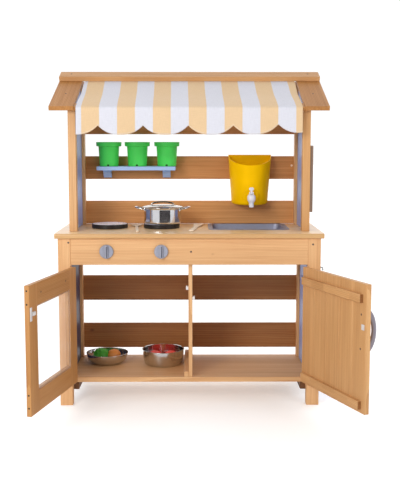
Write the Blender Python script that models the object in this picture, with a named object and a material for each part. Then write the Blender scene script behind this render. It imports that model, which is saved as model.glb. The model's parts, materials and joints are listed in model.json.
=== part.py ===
"""A wooden play kitchen with two doors, a pitched roof with a canopy, and its pots and pans.

Units are metres. The front faces -Y, X runs to the right and Z up from the floor. Places are first given
from the middle of the front legs' front faces, and the last lines move the whole kitchen over its origin,
the middle of its box at floor level. The doors stand open.
"""

import math

import bmesh
import bpy
from mathutils import Matrix, Vector

# Fits
CLEARANCE = 0.0003
RUNNING_CLEARANCE = 0.0003
CHAMFER = 0.0012
MERGE = 0.00001

# How finely round shapes are drawn
LARGE_TURN_STEPS = 36
TURN_STEPS = 32
TAP_STEPS = 24
BORE_SIDES = 20
KNUCKLE_SIDES = 16
PIN_SIDES = 12
ROD_SIDES = 8
ARCH_STEPS = 12
ARCH_SQUARENESS = 0.7
BOWL_CURVE_STEPS = 6

# Legs and cabinet
LEG_SPREAD = 0.940
LEG_WIDTH = 0.045
LEG_DEPTH = 0.036
CABINET_DEPTH = 0.363
PANEL_THICKNESS = 0.012
LOWER_PANEL_INSET = 0.023
LOWER_PANEL_BOTTOM = 0.050
SLAT_THICKNESS = 0.012
CABINET_SLAT_HEIGHT = 0.0995
CABINET_SLAT_BOTTOM = 0.130
CABINET_SLAT_PITCH = 0.1935
SHELF_TOP = 0.100
SHELF_THICKNESS = 0.018
SHELF_SETBACK = 0.002
SHELF_RAIL_WIDTH = 0.029
APRON_HEIGHT = 0.095
APRON_THICKNESS = 0.016
DIVIDER_THICKNESS = 0.014
DIVIDER_X = 0.003
CLEAT_WIDTH = 0.016
CLEAT_HEIGHT = 0.020

# Worktop
TOP_HEIGHT = 0.630
TOP_THICKNESS = 0.018
TOP_SIDE_OVERHANG = 0.010
TOP_FRONT_OVERHANG = 0.015
TOP_FRONT_ROUND = 0.006

# Doors
LEAF_THICKNESS = 0.016
LEAF_HEIGHT = 0.421
LEAF_TOP_GAP = 0.006
MEETING_GAP = 0.003
LEFT_DOOR_OPEN = math.radians(102.8)
RIGHT_DOOR_OPEN = math.radians(111.3)
STILE_WIDTH = 0.070
RAIL_WIDTH = 0.077
PANE_THICKNESS = 0.003
PANE_LAP = 0.006
PLANK_COUNT = 5
GROOVE_WIDTH = 0.003
GROOVE_DEPTH = 0.0012
BATTEN_HEIGHT = 0.027
BATTEN_THICKNESS = 0.012
BATTEN_HINGE_INSET = 0.010
BATTEN_FREE_INSET = 0.022
LOWER_BATTEN_RISE = 0.012
UPPER_BATTEN_DROP = 0.034
HANDLE_LENGTH = 0.147
HANDLE_REACH = 0.038
HANDLE_GRIP = 0.014
HANDLE_WIDTH = 0.014
HANDLE_GAP_LENGTH = 0.092
HANDLE_EDGE_DISTANCE = 0.030
HANDLE_HEIGHT = 0.355

# Butt hinges
HINGE_GAP = 0.0023
HINGE_PLATE = 0.0007
HINGE_HEIGHT = 0.050
HINGE_PLATE_DEPTH = 0.014
HINGE_AXIS_FORWARD = 0.0035
KNUCKLE_RADIUS = 0.0032
KNUCKLES = 3
PIN_RADIUS = 0.0012
HINGE_END_DISTANCE = 0.087

# Uprights and back above the worktop
UPRIGHT_SPREAD = 0.874
UPRIGHT_WIDTH = 0.028
UPRIGHT_DEPTH = 0.036
FRONT_UPRIGHT_Y = 0.071
UPPER_PANEL_INSET = 0.005
BACK_SLAT_HEIGHT = 0.0898
BACK_SLAT_PITCH = 0.1755
BACK_SLAT_RISE = 0.0012
SIDE_BOARD_THICKNESS = 0.010
SIDE_BOARD_RISE = 0.070
SIDE_BOARD_HEIGHT = 0.240

# Roof
ROOF_WIDTH = 1.000
ROOF_SLOPE = math.radians(20.73)
ROOF_FRONT_Y = 0.044
ROOF_RISE = 0.4342
ROOF_BOARD_WIDTH = 0.088
ROOF_BOARD_THICKNESS = 0.016
ROOF_REAR_OVERHANG = 0.0007
RIDGE_BOARD_WIDTH = 0.065
RIDGE_BOARD_THICKNESS = 0.018
RIDGE_OVERHANG = 0.004
FRONT_RAIL_WIDTH = 0.040

# Canopy
CLOTH_THICKNESS = 0.0014
CLOTH_SIDE_GAP = 0.009
CLOTH_SAG = 0.007
CLOTH_TUCK = 0.036
VALANCE_DROP = 0.096
SCALLOP_DEPTH = 0.031
SCALLOP_POWER = 2.6
SCALLOP_PITCH = 0.1605
SCALLOP_SHIFT = -0.004
VALANCE_WAVE = 0.0035
VALANCE_LEAN = 0.0012
VALANCE_ROWS = (0.06, 0.36, 0.68, 1.0)
RAIL_FRONT_INSET = 0.004
CANOPY_SLOPE_ROWS = 6
CANOPY_COLUMNS = 60

# Pot shelf and herb pots
POT_SHELF_WIDTH = 0.302
POT_SHELF_DEPTH = 0.095
POT_SHELF_THICKNESS = 0.015
POT_SHELF_X = -0.206
POT_SHELF_RISE = 0.229
BRACKET_WIDTH = 0.030
BRACKET_HEIGHT = 0.030
BRACKET_DEPTH = 0.045
BRACKET_SPREAD = 0.231
HERB_POT_HEIGHT = 0.093
HERB_POT_RIM = 0.0493
HERB_POT_WAIST = 0.0402
HERB_POT_BASE = 0.0358
HERB_POT_BAND = 0.0175
HERB_POT_BAND_TAPER = 0.0012
HERB_POT_WALL = 0.0022
HERB_POT_OFFSETS = (-0.1065, 0.0035, 0.1175)
HERB_POT_FROM_BACK = 0.053

# Water tank and tap
TANK_X = 0.235
TANK_ABOVE_SLAT = 0.0055
TANK_HEIGHT = 0.192
TANK_TOP_WIDTH = 0.168
TANK_BASE_WIDTH = 0.140
TANK_TOP_DEPTH = 0.118
TANK_BASE_DEPTH = 0.102
TANK_RIM_DROP = 0.038
TANK_WALL = 0.003
TANK_FOOT_ROUND = 0.008
HOOK_WIDTH = 0.120
HOOK_DROP = 0.024
HOOK_THICKNESS = 0.003
BOSS_RADIUS = 0.030
BOSS_HEIGHT = 0.036
BOSS_STAND = 0.003
SHANK_RADIUS = 0.0075
FLANGE_RADIUS = 0.012
FLANGE_THICKNESS = 0.003
TAP_REACH = 0.022
TAP_RADIUS = 0.0165
TAP_TOP = 0.043
SPOUT_RADIUS = 0.0090
SPOUT_BORE = 0.0060
SPOUT_BOTTOM = -0.005
SPOUT_DEPTH = 0.016
EAR_THICKNESS = 0.004
EAR_DEPTH = 0.010
LEVER_AXIS_HEIGHT = 0.050
LEVER_PIN_RADIUS = 0.0015
LEVER_FOOT_WIDTH = 0.008
LEVER_PADDLE_WIDTH = 0.018
LEVER_THICKNESS = 0.006
LEVER_HEIGHT = 0.021

# Knobs, hobs and sink
KNOB_X = (-0.296, -0.101)
KNOB_DROP = 0.065
KNOB_RADIUS = 0.025
KNOB_THICKNESS = 0.010
KNOB_GRIP_WIDTH = 0.010
KNOB_GRIP_HEIGHT = 0.012
HOB_X = (-0.302, -0.106)
HOB_FROM_BACK = 0.157
HOB_RADIUS = 0.068
HOB_THICKNESS = 0.016
SINK_X = 0.221
SINK_FROM_BACK = 0.125
SINK_WIDTH = 0.302
SINK_DEPTH = 0.248
SINK_FLANGE = 0.016
SINK_FLANGE_THICKNESS = 0.0016
SINK_CORNER = 0.026
SINK_BOWL_DEPTH = 0.068
SINK_WALL = 0.0016
SINK_TAPER = 0.012
SINK_FIT = 0.005
SINK_FOOT_ROUND = 0.008

# Cooking pot, lid and bowls
PAN_X = -0.1025
PAN_RADIUS = 0.0705
PAN_HEIGHT = 0.062
PAN_WALL = 0.002
PAN_LIP = 0.005
PAN_FOOT_ROUND = 0.006
PAN_HANDLE_REACH = 0.0317
PAN_HANDLE_WIDTH = 0.052
PAN_HANDLE_ROD = 0.003
PAN_HANDLE_DROP = 0.008
PAN_HANDLE_FLARE = 0.008
LID_RISE = 0.010
LID_HANDLE_WIDTH = 0.084
LID_HANDLE_RISE = 0.0125
LEFT_BOWL = {"x": -0.321, "y": 0.236, "rim": 0.079, "foot": 0.046, "height": 0.040}
RIGHT_BOWL = {"x": -0.103, "y": 0.220, "rim": 0.079, "foot": 0.066, "height": 0.058}
BOWL_WALL = 0.0018
BOWL_LIP = 0.002

# Wooden utensils
SPOON_LENGTH = 0.275
SPOON_HEAD = 0.048
SPOON_HANDLE = 0.012
SPOON_PLACE = (-0.1885, 0.040, math.radians(4.0))
SPATULA_LENGTH = 0.250
SPATULA_HEAD = 0.038
SPATULA_HANDLE = 0.020
SPATULA_PLACE = (0.006, 0.062, math.radians(-7.0))
UTENSIL_THICKNESS = 0.006

# Looks: colour, roughness, metallic
PALE_WOOD = ((0.79, 0.46, 0.22), 0.55, 0.0)
ROOF_WOOD = ((0.62, 0.33, 0.15), 0.60, 0.0)
BEECH = ((0.86, 0.66, 0.42), 0.50, 0.0)
BLUE_PAINT = ((0.27, 0.31, 0.47), 0.45, 0.0)
STEEL = ((0.62, 0.62, 0.63), 0.22, 1.0)
HINGE_STEEL = ((0.30, 0.29, 0.28), 0.35, 1.0)
HOB_BLACK = ((0.02, 0.02, 0.022), 0.35, 0.0)
KNOB_GREY = ((0.36, 0.38, 0.46), 0.40, 0.0)
HANDLE_GREY = ((0.30, 0.28, 0.34), 0.45, 0.0)
YELLOW = ((0.86, 0.52, 0.005), 0.35, 0.0)
WHITE = ((0.82, 0.82, 0.85), 0.30, 0.0)
GREEN = ((0.02, 0.38, 0.06), 0.35, 0.0)
CLEAR = ((0.92, 0.95, 0.96), 0.05, 0.0)
CANVAS = ((0.87, 0.67, 0.33), 0.85, 0.0)

# Places that several pieces share
LEG_OUTER = LEG_SPREAD / 2
LEG_INNER = LEG_OUTER - LEG_WIDTH
REAR_LEG_Y = CABINET_DEPTH - LEG_DEPTH
TOP_UNDERSIDE = TOP_HEIGHT - TOP_THICKNESS
SLAT_FRONT = CABINET_DEPTH + CLEARANCE
SLAT_BACK = SLAT_FRONT + SLAT_THICKNESS
HOB_Y = CABINET_DEPTH - HOB_FROM_BACK
SINK_Y = CABINET_DEPTH - SINK_FROM_BACK
HERB_POT_Y = CABINET_DEPTH - HERB_POT_FROM_BACK
KNOB_Z = TOP_HEIGHT - KNOB_DROP
SIDE_BOARD_BOTTOM = TOP_HEIGHT + SIDE_BOARD_RISE
POT_SHELF_TOP = TOP_HEIGHT + POT_SHELF_RISE
MIDDLE_SLAT_TOP = TOP_HEIGHT + BACK_SLAT_RISE + BACK_SLAT_PITCH + BACK_SLAT_HEIGHT
TANK_BOTTOM = MIDDLE_SLAT_TOP + TANK_ABOVE_SLAT - TANK_HEIGHT
ROOF_FRONT_Z = TOP_HEIGHT + ROOF_RISE
ROOF_BOARD_LENGTH = (SLAT_BACK + ROOF_REAR_OVERHANG - ROOF_FRONT_Y) / math.cos(ROOF_SLOPE)
SHELF_FRONT = LEAF_THICKNESS + SHELF_SETBACK
SHELF_UNDERSIDE = SHELF_TOP - SHELF_THICKNESS
LOWER_PANEL_INNER = LEG_OUTER - LOWER_PANEL_INSET - PANEL_THICKNESS
APRON_BOTTOM = TOP_UNDERSIDE - CLEARANCE - APRON_HEIGHT
LEAF_TOP = APRON_BOTTOM - LEAF_TOP_GAP
LEAF_BOTTOM = LEAF_TOP - LEAF_HEIGHT
LEAF_WIDTH = LEG_INNER - HINGE_GAP - MEETING_GAP / 2
HINGE_AXIS_X = LEG_INNER - HINGE_GAP / 2
LEAF_EDGE = HINGE_GAP / 2
UPRIGHT_OUTER = UPRIGHT_SPREAD / 2
UPRIGHT_INNER = UPRIGHT_OUTER - UPRIGHT_WIDTH
ROOF_BOARD_INNER = ROOF_WIDTH / 2 - ROOF_BOARD_WIDTH
STANDS = TOP_HEIGHT + CLEARANCE
SIDES = (("left", -1), ("right", 1))

scene = bpy.context.scene


def clear_scene():
    for obj in list(bpy.data.objects):
        bpy.data.objects.remove(obj, do_unlink=True)


def empty(name, location, rotation=(0.0, 0.0, 0.0), parent=None):
    made = bpy.data.objects.new(name, None)
    made.empty_display_size = 0.05
    made.location = location
    made.rotation_euler = rotation
    made.parent = parent
    scene.collection.objects.link(made)
    return made


def finish(name, look):
    colour, roughness, metallic = look
    made = bpy.data.materials.new(name)
    made.use_nodes = True
    shader = made.node_tree.nodes["Principled BSDF"]
    shader.inputs["Base Color"].default_value = (*colour, 1.0)
    shader.inputs["Roughness"].default_value = roughness
    shader.inputs["Metallic"].default_value = metallic
    if look is CLEAR:
        shader.inputs["Transmission Weight"].default_value = 0.95
    return made


def solid(name, bm, look, parent, location=(0.0, 0.0, 0.0), rotation=(0.0, 0.0, 0.0), smooth=False):
    """Turns a bmesh into a named object under its parent."""
    mesh = bpy.data.meshes.new(name)
    bm.to_mesh(mesh)
    bm.free()
    if smooth:
        mesh.shade_smooth()
        mesh.set_sharp_from_angle(angle=math.radians(35))
    made = bpy.data.objects.new(name, mesh)
    made.location = location
    made.rotation_euler = rotation
    made.parent = parent
    mesh.materials.append(finish(name, look))
    scene.collection.objects.link(made)
    return made


def combine(target, helper, operation):
    """Adds or takes away a helper, which stays out of renders."""
    modifier = target.modifiers.new(helper.name, "BOOLEAN")
    modifier.operation = operation
    modifier.object = helper
    helper.hide_render = True
    helper.display_type = "WIRE"


def box_mesh(low, high, chamfer=0.0):
    """A box between two corners, about its own middle, and that middle."""
    low, high = Vector(low), Vector(high)
    bm = bmesh.new()
    bmesh.ops.create_cube(bm, size=1.0)
    bmesh.ops.scale(bm, vec=high - low, verts=bm.verts)
    if chamfer:
        bmesh.ops.bevel(
            bm, geom=list(bm.edges), offset=chamfer, segments=1, profile=0.5, affect="EDGES", material=-1
        )
    return bm, (low + high) / 2


def board(name, low, high, look, parent, chamfer=CHAMFER):
    bm, middle = box_mesh(low, high, chamfer)
    return solid(name, bm, look, parent, middle)


def prism_mesh(outline, along, start, end, chamfer=0.0):
    """Extrudes an outline. The outline's two values are the axes after `along` in the order X, Y, Z, X, Y."""
    order = {"X": (1, 2, 0), "Y": (2, 0, 1), "Z": (0, 1, 2)}[along]
    bm = bmesh.new()
    corners = []
    for first, second in outline:
        place = [0.0, 0.0, 0.0]
        place[order[0]] = first
        place[order[1]] = second
        place[order[2]] = start
        corners.append(bm.verts.new(place))
    face = bm.faces.new(corners)
    raised = bmesh.ops.extrude_face_region(bm, geom=[face])["geom"]
    shift = [0.0, 0.0, 0.0]
    shift[order[2]] = end - start
    bmesh.ops.translate(bm, vec=shift, verts=[item for item in raised if isinstance(item, bmesh.types.BMVert)])
    bmesh.ops.recalc_face_normals(bm, faces=bm.faces)
    if chamfer:
        bmesh.ops.bevel(
            bm, geom=list(bm.edges), offset=chamfer, segments=1, profile=0.5, affect="EDGES", material=-1
        )
    return bm


def prism(name, outline, along, start, end, look, parent, chamfer=CHAMFER, location=(0.0, 0.0, 0.0)):
    return solid(name, prism_mesh(outline, along, start, end, chamfer), look, parent, location)


def turned_mesh(profile, steps):
    """Spins (radius, height) points about Z. Points on the axis close the shape."""
    bm = bmesh.new()
    points = [bm.verts.new((radius, 0.0, height)) for radius, height in profile]
    edges = [bm.edges.new(pair) for pair in zip(points, points[1:])]
    bmesh.ops.spin(
        bm, geom=points + edges, cent=(0, 0, 0), axis=(0, 0, 1), angle=2 * math.pi, steps=steps, use_merge=True
    )
    bmesh.ops.remove_doubles(bm, verts=bm.verts, dist=MERGE)
    bmesh.ops.recalc_face_normals(bm, faces=bm.faces)
    return bm


def loft_mesh(rings):
    """Skins rings that have equally many points, and closes the first and the last."""
    bm = bmesh.new()
    made = [[bm.verts.new(point) for point in ring] for ring in rings]
    count = len(made[0])
    for lower, upper in zip(made, made[1:]):
        for here in range(count):
            after = (here + 1) % count
            bm.faces.new((lower[here], lower[after], upper[after], upper[here]))
    bm.faces.new(made[0])
    bm.faces.new(made[-1])
    bmesh.ops.recalc_face_normals(bm, faces=bm.faces)
    return bm


def rod_mesh(path, normal, radius, sides):
    """A round rod along a flat path whose plane has the given normal."""
    path = [Vector(point) for point in path]
    normal = Vector(normal).normalized()
    rings = []
    for index, point in enumerate(path):
        before = path[max(index - 1, 0)]
        after = path[min(index + 1, len(path) - 1)]
        across = (after - before).normalized().cross(normal)
        turn = [2 * math.pi * step / sides for step in range(sides)]
        rings.append([point + radius * (math.cos(a) * normal + math.sin(a) * across) for a in turn])
    return loft_mesh(rings)


def cylinder_mesh(radius, start, end, along, sides, centre=(0.0, 0.0, 0.0)):
    """A cylinder along X, Y or Z from start to end, about a centre line."""
    bm = bmesh.new()
    bmesh.ops.create_cone(
        bm, cap_ends=True, segments=sides, radius1=radius, radius2=radius, depth=end - start
    )
    turn = {
        "X": Matrix.Rotation(math.pi / 2, 4, "Y"),
        "Y": Matrix.Rotation(-math.pi / 2, 4, "X"),
        "Z": Matrix.Identity(4),
    }[along]
    bmesh.ops.transform(bm, matrix=turn, verts=bm.verts)
    middle = Vector(centre)
    middle["XYZ".index(along)] += (start + end) / 2
    bmesh.ops.translate(bm, vec=middle, verts=bm.verts)
    return bm


def rounded_rectangle(width, depth, corner, height, steps=4):
    """Points round a rectangle with round corners, at one height."""
    points = []
    for quarter in range(4):
        corner_x = (width / 2 - corner) * (1 if quarter in (0, 3) else -1)
        corner_y = (depth / 2 - corner) * (1 if quarter in (0, 1) else -1)
        for step in range(steps + 1):
            angle = math.pi / 2 * (quarter + step / steps)
            points.append((corner_x + corner * math.cos(angle), corner_y + corner * math.sin(angle), height))
    return points


def roof_underside(y):
    """Height of the roof boards' underside above the floor."""
    return ROOF_FRONT_Z + (y - ROOF_FRONT_Y) * math.tan(ROOF_SLOPE)


def spans(inner, outer, side):
    """The X range of a piece between two distances from the middle, on one side."""
    return sorted((inner * side, outer * side))


def make_legs_and_sides():
    for side_name, side in SIDES:
        left, right = spans(LEG_INNER, LEG_OUTER, side)
        top = TOP_UNDERSIDE - CLEARANCE
        board(f"front_leg_{side_name}", (left, 0, 0), (right, LEG_DEPTH, top), PALE_WOOD, kitchen)
        board(
            f"rear_leg_{side_name}", (left, REAR_LEG_Y, 0), (right, CABINET_DEPTH, top), PALE_WOOD, kitchen
        )
        left, right = spans(LOWER_PANEL_INNER, LOWER_PANEL_INNER + PANEL_THICKNESS, side)
        front = LEG_DEPTH + CLEARANCE
        back = REAR_LEG_Y - CLEARANCE
        board(
            f"lower_side_panel_{side_name}",
            (left, front, LOWER_PANEL_BOTTOM),
            (right, back, top),
            BLUE_PAINT,
            kitchen,
        )
        rail_outer = LOWER_PANEL_INNER - CLEARANCE
        left, right = spans(rail_outer - SHELF_RAIL_WIDTH, rail_outer, side)
        board(
            f"shelf_rail_{side_name}",
            (left, front, LOWER_PANEL_BOTTOM),
            (right, back, SHELF_UNDERSIDE - CLEARANCE),
            PALE_WOOD,
            kitchen,
        )


def make_shelf_and_divider():
    narrow = LEG_INNER - CLEARANCE
    wide = LOWER_PANEL_INNER - CLEARANCE
    front_step = LEG_DEPTH + CLEARANCE
    back_step = REAR_LEG_Y - CLEARANCE
    right_half = [
        (narrow, SHELF_FRONT),
        (narrow, front_step),
        (wide, front_step),
        (wide, back_step),
        (narrow, back_step),
        (narrow, CABINET_DEPTH),
    ]
    outline = right_half + [(-x, y) for x, y in reversed(right_half)]
    prism("bottom_shelf", outline, "Z", SHELF_UNDERSIDE, SHELF_TOP, PALE_WOOD, kitchen)
    left, right = DIVIDER_X - DIVIDER_THICKNESS / 2, DIVIDER_X + DIVIDER_THICKNESS / 2
    low = SHELF_TOP + CLEARANCE
    board(
        "divider", (left, SHELF_FRONT, low), (right, CABINET_DEPTH, TOP_UNDERSIDE - CLEARANCE), PALE_WOOD, kitchen
    )
    cleat_right = left - CLEARANCE
    board(
        "divider_cleat",
        (cleat_right - CLEAT_WIDTH, SHELF_FRONT, low),
        (cleat_right, CABINET_DEPTH, low + CLEAT_HEIGHT),
        PALE_WOOD,
        kitchen,
    )


def make_apron_and_slats():
    half = LEG_INNER - CLEARANCE
    board(
        "apron",
        (-half, 0, APRON_BOTTOM),
        (half, APRON_THICKNESS, TOP_UNDERSIDE - CLEARANCE),
        PALE_WOOD,
        kitchen,
    )
    for index, name in enumerate(("cabinet_slat_lower", "cabinet_slat_upper")):
        low = CABINET_SLAT_BOTTOM + index * CABINET_SLAT_PITCH
        board(
            name,
            (-LEG_OUTER, SLAT_FRONT, low),
            (LEG_OUTER, SLAT_BACK, low + CABINET_SLAT_HEIGHT),
            PALE_WOOD,
            kitchen,
        )
    for index, name in enumerate(("back_slat_bottom", "back_slat_middle", "back_slat_top")):
        low = TOP_HEIGHT + BACK_SLAT_RISE + index * BACK_SLAT_PITCH
        board(
            name,
            (-UPRIGHT_OUTER, SLAT_FRONT, low),
            (UPRIGHT_OUTER, SLAT_BACK, low + BACK_SLAT_HEIGHT),
            PALE_WOOD,
            kitchen,
        )


def make_worktop():
    half = LEG_OUTER + TOP_SIDE_OVERHANG
    low = (-half, -TOP_FRONT_OVERHANG, TOP_UNDERSIDE)
    high = (half, SLAT_BACK, TOP_HEIGHT)
    bm, middle = box_mesh(low, high)
    front = -(high[1] - low[1]) / 2
    nose = [
        edge
        for edge in bm.edges
        if all(abs(vert.co.y - front) < MERGE for vert in edge.verts)
        and abs(edge.verts[0].co.z - edge.verts[1].co.z) < MERGE
    ]
    others = [edge for edge in bm.edges if edge not in nose]
    bmesh.ops.bevel(
        bm, geom=nose, offset=TOP_FRONT_ROUND, segments=3, profile=0.5, affect="EDGES", material=-1
    )
    others = [edge for edge in others if edge.is_valid and edge.calc_face_angle(0.0) > math.radians(60)]
    bmesh.ops.bevel(bm, geom=others, offset=CHAMFER, segments=1, profile=0.5, affect="EDGES", material=-1)
    worktop = solid("worktop", bm, PALE_WOOD, kitchen, middle)
    hole_width = SINK_WIDTH - 2 * SINK_FLANGE + 2 * SINK_FIT
    hole_depth = SINK_DEPTH - 2 * SINK_FLANGE + 2 * SINK_FIT
    rings = [
        rounded_rectangle(hole_width, hole_depth, SINK_CORNER, height)
        for height in (TOP_UNDERSIDE - SINK_FIT, TOP_HEIGHT + SINK_FIT)
    ]
    hole = solid("sink_hole_cutter", loft_mesh(rings), PALE_WOOD, kitchen, (SINK_X, SINK_Y, 0))
    combine(worktop, hole, "DIFFERENCE")


def make_upper_frame():
    for side_name, side in SIDES:
        left, right = spans(UPRIGHT_INNER, UPRIGHT_OUTER, side)
        rear_front = CABINET_DEPTH - UPRIGHT_DEPTH
        for name, front, back in (
            ("front_upright", FRONT_UPRIGHT_Y, FRONT_UPRIGHT_Y + UPRIGHT_DEPTH),
            ("rear_upright", rear_front, CABINET_DEPTH),
        ):
            sloped_board(f"{name}_{side_name}", left, right, front, back, PALE_WOOD)
        outer = UPRIGHT_OUTER - UPPER_PANEL_INSET
        left, right = spans(outer - PANEL_THICKNESS, outer, side)
        front = FRONT_UPRIGHT_Y + UPRIGHT_DEPTH + CLEARANCE
        sloped_board(f"upper_side_panel_{side_name}", left, right, front, rear_front - CLEARANCE, BLUE_PAINT)
    low = (UPRIGHT_OUTER + CLEARANCE, FRONT_UPRIGHT_Y, SIDE_BOARD_BOTTOM)
    high = (
        UPRIGHT_OUTER + CLEARANCE + SIDE_BOARD_THICKNESS,
        CABINET_DEPTH,
        SIDE_BOARD_BOTTOM + SIDE_BOARD_HEIGHT,
    )
    board("side_chalkboard", low, high, PALE_WOOD, kitchen)


def sloped_board(name, left, right, front, back, look):
    """A board that stands on the worktop and ends along the roof's slope."""
    gap = CLEARANCE / math.cos(ROOF_SLOPE)
    outline = [
        (front, STANDS),
        (back, STANDS),
        (back, roof_underside(back) - gap),
        (front, roof_underside(front) - gap),
    ]
    prism(name, outline, "X", left, right, look, kitchen)


def make_roof():
    """Pieces in the roof's own frame: X along the ridge, Y up the slope, Z out of the roof."""
    roof = empty("roof", (0, ROOF_FRONT_Y, ROOF_FRONT_Z), (ROOF_SLOPE, 0, 0), kitchen)
    for side_name, side in SIDES:
        left, right = spans(ROOF_BOARD_INNER, ROOF_WIDTH / 2, side)
        board(
            f"roof_board_{side_name}",
            (left, 0, 0),
            (right, ROOF_BOARD_LENGTH, ROOF_BOARD_THICKNESS),
            ROOF_WOOD,
            roof,
        )
    back = ROOF_BOARD_LENGTH + RIDGE_OVERHANG
    low = ROOF_BOARD_THICKNESS + CLEARANCE
    board(
        "ridge_board",
        (-ROOF_WIDTH / 2, back - RIDGE_BOARD_WIDTH, low),
        (ROOF_WIDTH / 2, back, low + RIDGE_BOARD_THICKNESS),
        ROOF_WOOD,
        roof,
    )
    half = ROOF_BOARD_INNER - CLEARANCE
    cloth_room = CLOTH_THICKNESS + CLEARANCE
    board(
        "roof_front_rail",
        (-half, 0, 0),
        (half, FRONT_RAIL_WIDTH, ROOF_BOARD_THICKNESS - cloth_room),
        PALE_WOOD,
        roof,
    )


def scallop_drop(x):
    """How far the valance hangs below the fold at one place along it."""
    turn = (x - SCALLOP_SHIFT) / SCALLOP_PITCH
    across = 2 * (turn - math.floor(turn)) - 1
    return VALANCE_DROP - SCALLOP_DEPTH * abs(across) ** SCALLOP_POWER


def make_canopy():
    """One cloth from under the ridge board down the slope, over the front rail and down as a valance."""
    half_width = ROOF_BOARD_INNER - CLOTH_SIDE_GAP
    level = ROOF_BOARD_THICKNESS - CLOTH_THICKNESS / 2
    ridge_front = ROOF_BOARD_LENGTH + RIDGE_OVERHANG - RIDGE_BOARD_WIDTH
    top_end = ridge_front + CLOTH_TUCK
    rail_back = FRONT_RAIL_WIDTH
    slope = []
    for row in range(CANOPY_SLOPE_ROWS + 1):
        share = row / CANOPY_SLOPE_ROWS
        place = ridge_front + (rail_back - ridge_front) * share
        slope.append((place, level - CLOTH_SAG * math.sin(math.pi * share) ** 2))
    bend = CLOTH_THICKNESS / 2 + CLEARANCE
    slope = [(top_end, level)] + slope
    slope += [(RAIL_FRONT_INSET, level), (-bend, level), (-2 * bend, level - bend)]
    cosine, sine = math.cos(ROOF_SLOPE), math.sin(ROOF_SLOPE)
    rows = [(s * cosine - n * sine, s * sine + n * cosine) for s, n in slope]
    fold_y, fold_z = rows[-1]
    bm = bmesh.new()
    grid = []
    for column in range(CANOPY_COLUMNS + 1):
        x = half_width * (2 * column / CANOPY_COLUMNS - 1)
        drop = scallop_drop(x)
        line = [(x, y, z) for y, z in rows]
        for share in VALANCE_ROWS:
            wave = VALANCE_WAVE * share * math.cos(2 * math.pi * (x - SCALLOP_SHIFT) / SCALLOP_PITCH)
            line.append((x, fold_y - VALANCE_LEAN - VALANCE_WAVE * share + wave, fold_z - share * drop))
        grid.append([bm.verts.new(point) for point in line])
    for near, far in zip(grid, grid[1:]):
        for row in range(len(near) - 1):
            bm.faces.new((near[row], near[row + 1], far[row + 1], far[row]))
    canopy = solid("canopy", bm, CANVAS, kitchen, (0, ROOF_FRONT_Y, ROOF_FRONT_Z), smooth=True)
    thickness = canopy.modifiers.new("cloth", "SOLIDIFY")
    thickness.thickness = CLOTH_THICKNESS
    thickness.offset = 0.0
    thickness.use_even_offset = True


def make_hinge(side_name, side, level_name, height, door):
    """A butt hinge: the frame leaf holds the pin and the end knuckles, the door leaf the one between."""
    knuckle = HINGE_HEIGHT / KNUCKLES
    bore = PIN_RADIUS + RUNNING_CLEARANCE
    clear_of_knuckle = KNUCKLE_RADIUS + RUNNING_CLEARANCE
    plate_end = HINGE_AXIS_FORWARD + HINGE_PLATE_DEPTH
    low, high = height - HINGE_HEIGHT / 2, height + HINGE_HEIGHT / 2
    middle_low = low + knuckle + RUNNING_CLEARANCE / 2
    middle_high = high - knuckle - RUNNING_CLEARANCE / 2
    frame_axis = empty(
        f"{side_name}_{level_name}_hinge_place", (side * HINGE_AXIS_X, -HINGE_AXIS_FORWARD, 0), parent=kitchen
    )
    frame_left, frame_right = spans(LEAF_EDGE - CLEARANCE - HINGE_PLATE, LEAF_EDGE - CLEARANCE, side)
    door_left, door_right = spans(-(LEAF_EDGE - CLEARANCE), -(LEAF_EDGE - CLEARANCE - HINGE_PLATE), side)
    frame_name = f"{side_name}_hinge_{level_name}_frame_leaf"
    door_name = f"{side_name}_hinge_{level_name}_door_leaf"
    frame_leaf = solid(
        frame_name, cylinder_mesh(PIN_RADIUS, low + CHAMFER, high - CHAMFER, "Z", PIN_SIDES), HINGE_STEEL, frame_axis
    )
    root = (KNUCKLE_RADIUS + bore) / 2
    for part, (start, end) in enumerate(((low, low + knuckle), (high - knuckle, high))):
        ring = cylinder_mesh(KNUCKLE_RADIUS, start, end, "Z", KNUCKLE_SIDES)
        helper = solid(f"{frame_name}_knuckle_{part}", ring, HINGE_STEEL, frame_axis)
        combine(frame_leaf, helper, "UNION")
    teeth = [(low, low + knuckle), (high - knuckle, high)]
    plate = comb_mesh(low, high, root, clear_of_knuckle, plate_end, teeth, frame_left, frame_right)
    combine(frame_leaf, solid(f"{frame_name}_plate", plate, HINGE_STEEL, frame_axis), "UNION")
    middle_ring = cylinder_mesh(KNUCKLE_RADIUS, middle_low, middle_high, "Z", KNUCKLE_SIDES)
    door_leaf = solid(door_name, middle_ring, HINGE_STEEL, door)
    teeth = [(middle_low, middle_high)]
    plate = comb_mesh(low, high, root, clear_of_knuckle, plate_end, teeth, door_left, door_right)
    combine(door_leaf, solid(f"{door_name}_plate", plate, HINGE_STEEL, door), "UNION")
    hole = solid(f"{door_name}_bore", cylinder_mesh(bore, low, high, "Z", PIN_SIDES), HINGE_STEEL, door)
    combine(door_leaf, hole, "DIFFERENCE")


def comb_mesh(low, high, root, start, end, teeth, left, right):
    """A hinge plate whose teeth reach in to their knuckles."""
    outline = [(end, low), (end, high)]
    for tooth_low, tooth_high in sorted(teeth, reverse=True):
        if tooth_high < high:
            outline += [(start, high if len(outline) == 2 else tooth_high), (start, tooth_high)]
        outline += [(root, tooth_high), (root, tooth_low)]
        if tooth_low > low:
            outline.append((start, tooth_low))
    if teeth[0][0] > low:
        outline.append((start, low))
    tidy = [point for index, point in enumerate(outline) if point != outline[index - 1]]
    return prism_mesh(tidy, "X", left, right)


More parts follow.
